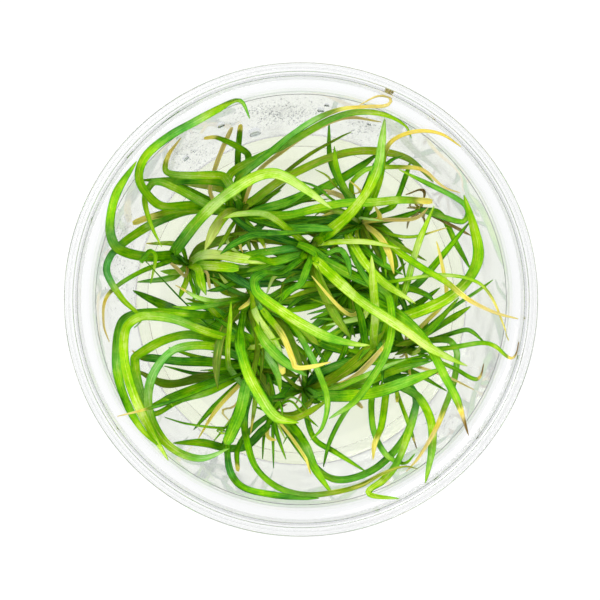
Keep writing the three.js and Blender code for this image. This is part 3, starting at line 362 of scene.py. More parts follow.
@dataclass(frozen=True)
class ClearPlastic:
    """Clear moulded polypropylene: glossy, thin, with a faint cool tint in its thick edges."""

    name: str = "clear moulded polypropylene"

    def make(self) -> bpy.types.Material:
        """Builds the see-through plastic.

        Returns:
            The cup's material.
        """
        material, tree, shader = new_material(self.name)
        place = add_node(tree, "ShaderNodeTexCoord", {}, {})
        # Flow marks of the moulding, some 8 mm apart, barely raised, and none on the rim.
        flow = add_node(tree, "ShaderNodeTexNoise", {"in:Scale": 125.0, "in:Detail": 2.0},
                        {"Vector": place.outputs["Object"]})
        height = add_node(tree, "ShaderNodeSeparateXYZ", {}, {0: place.outputs["Object"]})
        below = add_node(tree, "ShaderNodeMapRange", {"in:From Min": 0.046, "in:From Max": 0.04},
                         {0: height.outputs["Z"]})
        marks = add_node(tree, "ShaderNodeMath", {"operation": "MULTIPLY"},
                         {0: flow.outputs["Fac"], 1: below.outputs[0]})
        bump = add_node(tree, "ShaderNodeBump", {"in:Strength": 0.02, "in:Distance": 0.0002},
                        {"Height": marks.outputs[0]})
        tree.links.new(bump.outputs[0], shader.inputs["Normal"])
        # Fine mist dulls the wall inside, in clouds about 7 mm across.
        mist = add_node(tree, "ShaderNodeTexNoise", {"in:Scale": 140.0, "in:Detail": 3.0},
                        {"Vector": place.outputs["Object"]})
        dull = add_node(tree, "ShaderNodeMapRange",
                        {"in:From Min": 0.4, "in:From Max": 0.7, "in:To Min": 0.06, "in:To Max": 0.14},
                        {0: mist.outputs["Fac"]})
        soft = add_node(tree, "ShaderNodeMath", {"operation": "MULTIPLY"},
                        {0: dull.outputs[0], 1: below.outputs[0]})
        gloss = add_node(tree, "ShaderNodeMath", {"operation": "MAXIMUM", "in:1": 0.04},
                         {0: soft.outputs[0]})
        tree.links.new(gloss.outputs[0], shader.inputs["Roughness"])
        shader.inputs["Base Color"].default_value = linear("#f5f6f6")
        shader.inputs["IOR"].default_value = 1.46
        shader.inputs["Transmission Weight"].default_value = 1.0
        return material


@dataclass(frozen=True)
class CloudedGel:
    """Set nutrient gel: wet, pale and slightly clouded."""

    name: str = "clouded nutrient gel"

    def make(self) -> bpy.types.Material:
        """Builds the gel.

        Returns:
            The gel's material.
        """
        material, tree, shader = new_material(self.name)
        place = add_node(tree, "ShaderNodeTexCoord", {}, {})
        # The surface sets in shallow waves about 12 mm across.
        waves = add_node(tree, "ShaderNodeTexNoise", {"in:Scale": 80.0, "in:Detail": 2.0},
                         {"Vector": place.outputs["Object"]})
        cloud = add_node(tree, "ShaderNodeValToRGB", {}, {"Fac": waves.outputs["Fac"]})
        set_ramp(cloud, ((0.3, "#f1f6da"), (0.7, "#f7faea")))
        bump = add_node(tree, "ShaderNodeBump", {"in:Strength": 0.06, "in:Distance": 0.0005},
                        {"Height": waves.outputs["Fac"]})
        tree.links.new(cloud.outputs[0], shader.inputs["Base Color"])
        tree.links.new(bump.outputs[0], shader.inputs["Normal"])
        shader.inputs["Roughness"].default_value = 0.1
        shader.inputs["IOR"].default_value = 1.34
        shader.inputs["Transmission Weight"].default_value = 1.0
        return material


@dataclass(frozen=True)
class WaterDrop:
    """Condensed water: smooth, with a grey tint that paints in the shade that drops refract."""

    name: str = "condensed water"

    def make(self) -> bpy.types.Material:
        """Builds the water.

        Returns:
            The drops' material.
        """
        material, _, shader = new_material(self.name)
        # The grey tint is painted shade: it darkens the drops as the dark things that they refract darken
        # real ones.
        shader.inputs["Base Color"].default_value = linear("#d9e0e0")
        shader.inputs["Roughness"].default_value = 0.02
        shader.inputs["IOR"].default_value = 1.33
        shader.inputs["Transmission Weight"].default_value = 1.0
        return material


class Fade(Enum):
    """How far a blade has faded, and the stretch along it over which the fading sets in.

    A last value below 1 says where the blade turns green again.
    """

    GREEN = (0.0, 0.0, 1.0, 1.0)
    YELLOW = (0.52, 0.66, 0.9, 1.0)
    YELLOW_TIP = (0.52, 0.84, 0.97, 1.0)
    TAN = (0.76, 0.5, 0.85, 1.0)
    TAN_TIP = (0.76, 0.8, 0.95, 1.0)
    TAN_MIDDLE = (0.74, 0.18, 0.4, 0.84)
    BROWN_TIP = (1.0, 0.82, 0.96, 1.0)
    OLIVE = (0.2, -0.5, 0.3, 1.0)
    ALL_YELLOW = (0.5, -0.4, 0.3, 1.0)
    ALL_TAN = (0.76, -0.4, 0.3, 1.0)
    ALL_BROWN = (0.95, -0.4, 0.3, 1.0)
    DRY = (0.3, 0.4, 0.85, 1.0)
    PALE = (0.5, 0.15, 0.5, 1.0)
    GOLDEN = (0.6, 0.3, 0.62, 1.0)
    AMBER_TIP = (0.68, 0.7, 0.94, 1.0)

    def at(self, along: float) -> float:
        """Gives the fading at a place along the blade, from 0, fresh, to 1, brown."""
        most, start, full, turn = self.value
        fading = most * smooth_step(start, full, along)
        return fading * (1 - smooth_step(turn, turn + 0.12, along)) if turn < 1 else fading


@dataclass(frozen=True)
class Look:
    """The look of the blade whose tip is seen nearest to a place.

    Attributes:
        x: Seen place of the tip, in millimetres.
        y: Seen place of the tip, in millimetres.
        tone: From 0, deep green, to 1, pale lime.
        fade: How it has faded.
        blunt: Whether it ends cut off instead of in a point.
        base: Share of its tone that its base has; the deeper base is painted shade, where it lies low among
            the blades.
        wide: Its width as a share of its solid's.
        cool: Share of the painted bluish sheen, partly a real teal hue, that it takes on.
        late: Share of its length that stays deep and narrow, hidden among the low blades; its deep tone
            there is painted shade.
    """

    x: float
    y: float
    tone: float
    fade: Fade = Fade.GREEN
    blunt: bool = False
    base: float = 0.55
    wide: float = 1.1
    cool: float = 1.0
    late: float = 0.0


LOOKS = (
    Look(-10.9, 38.4, 0.5, cool=1.6),
    Look(-35.3, -6.1, 0.48, base=0.8, cool=1.8),
    Look(-25.5, 34.2, 0.62, Fade.AMBER_TIP, base=1.1),
    Look(-29.5, 11.2, 0.56, base=0.8),
    Look(12.3, 41.2, 0.5, Fade.TAN),
    Look(23.5, 34.2, 0.56, base=0.8),
    Look(28.1, 25, 0.55, Fade.OLIVE, base=0.9),
    Look(27.9, 20.8, 0.5, Fade.YELLOW_TIP, True, base=0.8, cool=0.3),
    Look(-35.7, 16.2, 0.5, Fade.YELLOW, True, cool=0.3),
    Look(-12.8, 37, 0.25, Fade.YELLOW_TIP, True),
    Look(-20.6, 34.2, 0.42, Fade.YELLOW_TIP, True, cool=0.3),
    Look(-25, 24.5, 0.82, Fade.OLIVE, base=1.0, cool=0.0),
    Look(10.7, 35.5, 0.4, Fade.OLIVE),
    Look(16.3, 31, 0.2),
    Look(17, 37.7, 0.5, Fade.ALL_TAN),
    Look(-28.2, -34.1, 0.64),
    Look(-29.8, -31.5, 0.4),
    Look(-35.6, 1.9, 0.22),
    Look(-32, -25, 0.55, cool=1.8),
    Look(-15.2, -31.6, 0.62),
    Look(-31.8, 3.3, 0.5),
    Look(-35.8, -10.8, 0.2, Fade.YELLOW_TIP),
    Look(-15.8, -30.7, 0.36, Fade.GREEN, True),
    Look(3.8, -42.2, 0.22, cool=1.4),
    Look(24.8, -36, 0.35, Fade.DRY, wide=1.25),
    Look(-35, -15, 0.28, Fade.OLIVE),
    Look(-39, -24.8, 0.18, Fade.TAN_TIP),
    Look(-21.7, -29.5, 0.7, Fade.ALL_YELLOW),
    Look(-28.9, -25, 0.35, wide=0.8),
    Look(-10.7, -28.5, 0.7, Fade.YELLOW),
    Look(34.6, 22.2, 0.54, cool=0.6),
    Look(6, -25.3, 0.5, wide=0.95),
    Look(2, -29.8, 0.45, wide=0.95),
    Look(28.2, 19.8, 0.74, cool=0.3),
    Look(35.5, -28.8, 0.46, Fade.BROWN_TIP, cool=0.4),
    Look(44.2, -8.8, 0.7, Fade.YELLOW, cool=0.2),
    Look(5.3, -5.5, 0.85),
    Look(2.3, 5, 0.85, Fade.PALE),
    Look(46, -4.1, 0.5, Fade.TAN),
    Look(34, 32.4, 0.5, Fade.GOLDEN, base=0.9),
    Look(24.3, -0.8, 0.66, base=0.9, cool=0.0),
    Look(33.8, 22.6, 0.5, Fade.TAN),
    Look(31, 15.2, 0.6, Fade.YELLOW, cool=0.2),
    Look(27, 19.5, 0.5, Fade.ALL_TAN),
    Look(19.8, 5.5, 0.7, Fade.ALL_YELLOW),
    Look(4.5, 22, 0.5, Fade.ALL_TAN),
    Look(36, 13.6, 0.4, Fade.ALL_BROWN),
    Look(22.3, 22.2, 0.3, Fade.ALL_BROWN),
    Look(17.8, 38.3, 0.7),
    Look(35.3, -14.1, 0.76, base=0.7, cool=0.2),
    Look(-34.9, 29.3, 0.42),
    Look(36, -1.5, 0.4, wide=0.8),
    Look(14.6, -9.7, 0.6, base=0.15, cool=0.5, late=0.36),
    Look(-16.5, 17.2, 0.72, wide=0.85),
    Look(-12.5, 9.6, 0.25),
    Look(21, 10.8, 0.9),
    Look(-7.4, 1, 0.92, Fade.OLIVE, base=0.9),
    Look(22.3, -36.5, 0.6, Fade.TAN),
    Look(46.2, -9, 0.5, Fade.BROWN_TIP),
    Look(33.5, 0.3, 0.48),
    Look(38.8, -13.6, 0.4, Fade.BROWN_TIP),
    Look(28.7, 12.3, 0.8, Fade.ALL_YELLOW),
    Look(23.5, -17.7, 0.8, Fade.ALL_YELLOW),
    Look(6.5, 19.3, 0.68, base=0.3, cool=0.8),
    Look(-40.6, -9, 0.5, Fade.TAN),
    Look(-7.2, 7.6, 0.88),
    Look(-32.8, 11.9, 0.6, Fade.YELLOW_TIP),
    Look(-11, 6.9, 0.74),
    Look(-34.7, 3.7, 0.6),
    Look(18.9, -8.3, 0.75, Fade.TAN_MIDDLE, wide=1.35),
    Look(30, -14.6, 0.46),
    Look(-6.2, -20.8, 0.2),
    Look(15, 9.3, 0.78, cool=0.3),
    Look(15.3, -34, 0.5, Fade.YELLOW),
    Look(24.5, -31.5, 0.5, Fade.BROWN_TIP),
    Look(36.6, -19.1, 0.5, Fade.ALL_TAN),
    Look(2, -37, 0.7, Fade.ALL_YELLOW),
    Look(6, -21, 0.5, Fade.OLIVE),
    Look(6.3, -13.2, 0.85, Fade.PALE),
    Look(-0.5, -26.2, 0.6, base=0.1, late=0.36),
    Look(-26.7, 3, 0.7, Fade.TAN_TIP),
    Look(-3.7, -15.8, 0.85, Fade.YELLOW_TIP, True),
    Look(-9, 4, 0.12),
    Look(-5.5, 0.2, 0.4),
    Look(-5, -0.8, 0.3),
    Look(-12.5, 7, 0.15),
    Look(2, -4.2, 0.15),
    Look(28.3, -11.8, 0.18),
    Look(-7, 15.6, 0.16),
    Look(-9.5, 13.8, 0.3),
    Look(7.5, -7.8, 0.05),
    Look(16, -12.6, 0.2),
    Look(28, -13, 0.45),
    Look(22.4, -12.6, 0.62),
    Look(-14.8, -0.5, 0.66, cool=2.5),
    Look(-4.3, -19.7, 0.62),
    Look(-21, 0.2, 0.58),
    Look(-16.8, -31, 0.15),
    Look(-13.4, -36.3, 0.3, Fade.YELLOW_TIP, True),
)
LOOK_REACH = 1.2
ATTRIBUTES = ("tone", "fade", "sheen_and_hue")
SHARP_ANGLE = math.radians(55)


@dataclass
class BladePath:
    """The centre line of one blade, from base to tip, as its solid holds it.

    Attributes:
        centres: Middle of the upper face at each ring, in millimetres.
        sides: Unit vector from the middle to the left edge at each ring.
        halves: Half the width at each ring, in millimetres.
    """

    centres: list[Vector]
    sides: list[Vector]
    halves: list[float]

    def seen_tip(self) -> Vector:
        """Gives the place where the tip is seen from above."""
        return seen_place(self.centres[-1])

    def length(self) -> float:
        """Adds up the path's length, in millimetres."""
        pairs = zip(self.centres, self.centres[1:])
        return sum((b - a).length for a, b in pairs)


class BladeReader:
    """Reads the blades' centre lines from a node's solid."""

    merge_distance: float = 2e-6
    sharpest_fan: float = math.radians(125)
    longest_step: float = 13.0
    widest_ring: float = 3.6
    shortest_blade: float = 3.0

    def read(self, node: str) -> list[BladePath]:
        """Reads every pointed blade of a node.

        Args:
            node: The CAD node's name.

        Returns:
            The blades' paths, from base to tip.
        """
        solid = bmesh.new()
        solid.from_mesh(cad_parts[node].data)
        bmesh.ops.remove_doubles(solid, verts=solid.verts[:], dist=self.merge_distance)
        tips = [vert for vert in solid.verts if self._is_tip(vert)]
        tips.sort(key=lambda vert: (round(vert.co.x, 6), round(vert.co.y, 6)))
        paths = [self._walk(tip) for tip in tips]
        solid.free()
        return [path for path in paths if len(path.centres) > 1 and path.length() > self.shortest_blade]

    def _is_tip(self, vert: bmesh.types.BMVert) -> bool:
        """Tells a blade's point from any other corner: three faces in a narrow fan."""
        if len(vert.link_edges) != 3:
            return False
        spread = sum(loop.calc_angle() for loop in vert.link_loops)
        return spread < self.sharpest_fan

    def _walk(self, tip: bmesh.types.BMVert) -> BladePath:
        """Walks from a tip to the base, ring by ring.

        Args:
            tip: The blade's point.

        Returns:
            The blade's path, from base to tip.
        """
        seen = {tip}
        rings = []
        current = [tip]
        last = tip.co.copy()
        while True:
            ahead = {edge.other_vert(vert) for vert in current for edge in vert.link_edges}
            ring = sorted(ahead - seen, key=lambda vert: vert.co.z)
            if len(ring) != 3:
                break
            middle = (ring[0].co + ring[1].co + ring[2].co) / 3
            across = (ring[1].co - ring[2].co).length
            if (middle - last).length / MM > self.longest_step or across / MM > self.widest_ring:
                break
            rings.append([vert.co.copy() / MM for vert in ring])
            seen.update(ring)
            current = ring
            last = middle
        return self._path_of(tip.co / MM, rings)

    def _path_of(self, tip: Vector, rings: list[list[Vector]]) -> BladePath:
        """Turns rings into a path.

        Args:
            tip: The blade's point.
            rings: The keel and the two edges at each ring, from tip to base.

        Returns:
            The blade's path, from base to tip.
        """
        centres = [(edge + other) / 2 for _, edge, other in rings]
        centres.reverse()
        centres.append(tip.copy())
        sides = []
        halves = []
        for i, (_, edge, other) in enumerate(reversed(rings)):
            before = centres[max(i - 1, 0)]
            way = centres[i + 1] - before
            side = edge - other
            if way.cross(side).z < 0:
                side.negate()
            halves.append(side.length / 2)
            sides.append(side.normalized())
        sides.append(sides[-1].copy() if sides else Vector((1, 0, 0)))
        halves.append(0.0)
        return BladePath(centres, sides, halves)


@dataclass
class BladeShape:
    """The fine form of a strap blade: a shallow channel with thin margins, twisting a little.

    Attributes:
        columns: Faces across the blade.
        step: Length of a face along the blade, in millimetres.
        thickness: Thickness, in millimetres.
        channel: Depth of the channel, as a share of the half width.
        twist: Most that the blade turns about its length, in radians.
        shrivel: Share of its width that it loses where it dries.
        ripple: Depth of its waves, as a share of the half width.
        mottle: Most that its tone wanders along it.
        sheen: Middle and swing of the painted bluish sheen along it, partly a real teal hue.
        taper: Power by which its last stretch narrows, in a point and when it ends blunt.
        finest: Least half width, in millimetres.
    """

    columns: int = 6
    step: float = 0.9
    thickness: float = 0.22
    channel: float = 0.3
    twist: float = 0.36
    shrivel: float = 0.35
    ripple: float = 0.06
    mottle: float = 0.28
    sheen: tuple[float, float] = (0.1, 1.1)
    taper: tuple[float, float] = (0.62, 0.08)
    finest: float = 0.03

    def build(self, path: BladePath, look: Look, seed: int) -> bmesh.types.BMesh:
        """Bends a grid into a blade.

        Args:
            path: The blade's centre line.
            look: Its tone and how it ends.
            seed: A number that sets its small unevenness.

        Returns:
            The blade, in metres.
        """
        length = path.length()
        rows = max(6, round(length / self.step))
        points, sides, halves = self._resample(path, rows, look.blunt)
        sheet = bmesh.new()
        bmesh.ops.create_grid(sheet, x_segments=self.columns, y_segments=rows, size=1.0, calc_uvs=False)
        uv = sheet.loops.layers.uv.new("blade")
        tone, fade, sheen_and_hue = (sheet.verts.layers.float.new(name) for name in ATTRIBUTES)
        spots = {vert: (vert.co.x, (vert.co.y + 1) / 2) for vert in sheet.verts}
        for vert, (u, v) in spots.items():
            row = min(rows, round(v * rows))
            gone = v * length
            vert[tone] = self._tone(look, v, gone, seed)
            # Painted sheen, partly a real teal hue: bluish patches along the blade, about 13 mm long.
            sheen = self.sheen[0] + self.sheen[1] * noise.noise(Vector((seed * 3.7, gone / 13, 5.0)))
            vert[sheen_and_hue] = min(1.0, look.cool * max(0.0, sheen))
            vert[fade] = look.fade.at(v)
            dried = 0.0 if look.blunt else max(0.0, look.fade.at(v) - look.fade.at(0.0))
            half = halves[row] * look.wide * (1 - self.shrivel * dried)
            if v < look.late:
                half *= 0.6 + 0.4 * smooth_step(0.7 * look.late, look.late, v)
            way = points[min(row + 1, rows)] - points[max(row - 1, 0)]
            turn = Matrix.Rotation(self._turn(gone, seed), 3, way.normalized())
            side = turn @ sides[row]
            up = way.cross(side).normalized()
            ripple = self.ripple * noise.noise(Vector((gone / 4, seed * 3.1, u)))
            depth = half * (self.channel * (abs(u) ** 1.15 - 0.45) + ripple)
            vert.co = (points[row] + side * (u * half) + up * depth) * MM
        for face in sheet.faces:
            for loop in face.loops:
                u, v = spots[loop.vert]
                loop[uv].uv = ((u + 1) / 2, v * length / 10 + seed * 0.37)
        self._close(sheet)
        return sheet

    def _tone(self, look: Look, v: float, gone: float, seed: int) -> float:
        """Gives the tone at a place along a blade: deeper at its base as painted shade, uneven on the way.

        Args:
            look: The blade's look.
            v: Share of the length.
            gone: Length from the base, in millimetres.
            seed: The blade's number.

        Returns:
            The tone, from 0, deep green, to 1, pale lime.
        """
        # Painted shade: the base and the late stretch keep a deeper tone, where the blade lies low among the
        # others.
        deep = look.base * look.tone
        rise = smooth_step(look.late, look.late + 0.5 - 0.7 * look.late, v)
        wander = self.mottle * noise.noise(Vector((seed * 7.3, gone / 7, 0)))
        return deep + (look.tone - deep) * rise + wander

    def _turn(self, gone: float, seed: int) -> float:
        """Gives the blade's own twist at a length from its base, in radians."""
        return self.twist * smooth_step(2, 10, gone) * noise.noise(Vector((gone / 9, seed * 5.9, 2.0))) * 2

    def _close(self, sheet: bmesh.types.BMesh) -> None:
        """Gives the sheet its thickness and crisp margins.

        Args:
            sheet: The bent sheet.
        """
        bmesh.ops.recalc_face_normals(sheet, faces=sheet.faces[:])
        rise = sum(face.normal.z for face in sheet.faces)
        if rise < 0:
            bmesh.ops.reverse_faces(sheet, faces=sheet.faces[:])
        bmesh.ops.solidify(sheet, geom=sheet.faces[:], thickness=self.thickness * MM)
        for edge in sheet.edges:
            edge.smooth = edge.calc_face_angle(0.0) < SHARP_ANGLE

    def _resample(
        self, path: BladePath, rows: int, blunt: bool
    ) -> tuple[list[Vector], list[Vector], list[float]]:
        """Runs a smooth curve through the path's rings and cuts it into even rows.

        Args:
            path: The blade's centre line.
            rows: How many rows.
            blunt: Whether it ends cut off.

        Returns:
            Places, side vectors and half widths, one more than there are rows.
        """
        count = len(path.centres)
        pointed, cut_off = self.taper
        power = cut_off if blunt else pointed
        fine = []
        per = 12
        for i in range(count - 1):
            a = path.centres[i]
            b = path.centres[i + 1]
            span = (b - a).length
            before = path.centres[i - 1] if i else a - (b - a)
            after = path.centres[i + 2] if i + 2 < count else b + (b - a)
            lead_in = (b - before).normalized() * span / 3
            lead_out = (after - a).normalized() * span / 3
            curve = interpolate_bezier(a, a + lead_in, b - lead_out, b, per + 1)
            for k in range(per):
                t = k / per
                side = path.sides[i].lerp(path.sides[i + 1], t)
                half = path.halves[i] + (path.halves[i + 1] - path.halves[i]) * t
                if i == count - 2:
                    half = path.halves[i] * (1 - t) ** power
                fine.append((curve[k], side, half))
        fine.append((path.centres[-1], path.sides[-1], 0.5 * path.halves[-2] if blunt else 0.02))
        reach = [0.0]
        for (a, _, _), (b, _, _) in zip(fine, fine[1:]):
            reach.append(reach[-1] + (b - a).length)
        points, sides, halves = [], [], []
        at = 0
        for row in range(rows + 1):
            goal = reach[-1] * row / rows
            while at < len(reach) - 2 and reach[at + 1] < goal:
                at += 1
            span = max(reach[at + 1] - reach[at], 1e-9)
            t = min(1.0, (goal - reach[at]) / span)
            points.append(fine[at][0].lerp(fine[at + 1][0], t))
            side = fine[at][1].lerp(fine[at + 1][1], t)
            sides.append(side.normalized())
            halves.append(max(self.finest, fine[at][2] + (fine[at + 1][2] - fine[at][2]) * t))
        return points, sides, halves


def finish_piece(
    name: str, shape: bmesh.types.BMesh, material: bpy.types.Material
) -> bpy.types.Object:
    """Makes a piece of a finished bmesh and lets it ride on the body.

    Args:
        name: The piece's name.
        shape: Its mesh, in metres and in place.
        material: Its finish.

    Returns:
        The new object.
    """
    mesh = bpy.data.meshes.new(name)
    shape.to_mesh(mesh)
    shape.free()
    for polygon in mesh.polygons:
        polygon.use_smooth = True
    mesh.materials.append(material)
    piece = bpy.data.objects.new(name, mesh)
    bpy.context.scene.collection.objects.link(piece)
    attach(piece, BODY)
    return piece


def join_into(target: bmesh.types.BMesh, other: bmesh.types.BMesh) -> None:
    """Adds one bmesh to another and frees it.

    Args:
        target: The mesh that grows.
        other: The mesh that is added.
    """
    carrier = bpy.data.meshes.new("carrier")
    other.to_mesh(carrier)
    other.free()
    target.from_mesh(carrier)
    bpy.data.meshes.remove(carrier)


@dataclass(frozen=True)
class Sprig:
    """A small blade that is too slight for a solid of its own: it grows low in a shoot.

    Attributes:
        shoot: The shoot that it grows from.
        width: Its width, in millimetres.
        height: Its height at its tip, in millimetres.
        route: The points where it is seen, from base to tip, in millimetres.
        tone: From 0, deep green, to 1, pale lime.
        fade: How it has faded.
        blunt: Whether it ends cut off instead of in a point.
    """

    shoot: str
    width: float
    height: float
    route: tuple
    tone: float
    fade: Fade = Fade.GREEN
    blunt: bool = False


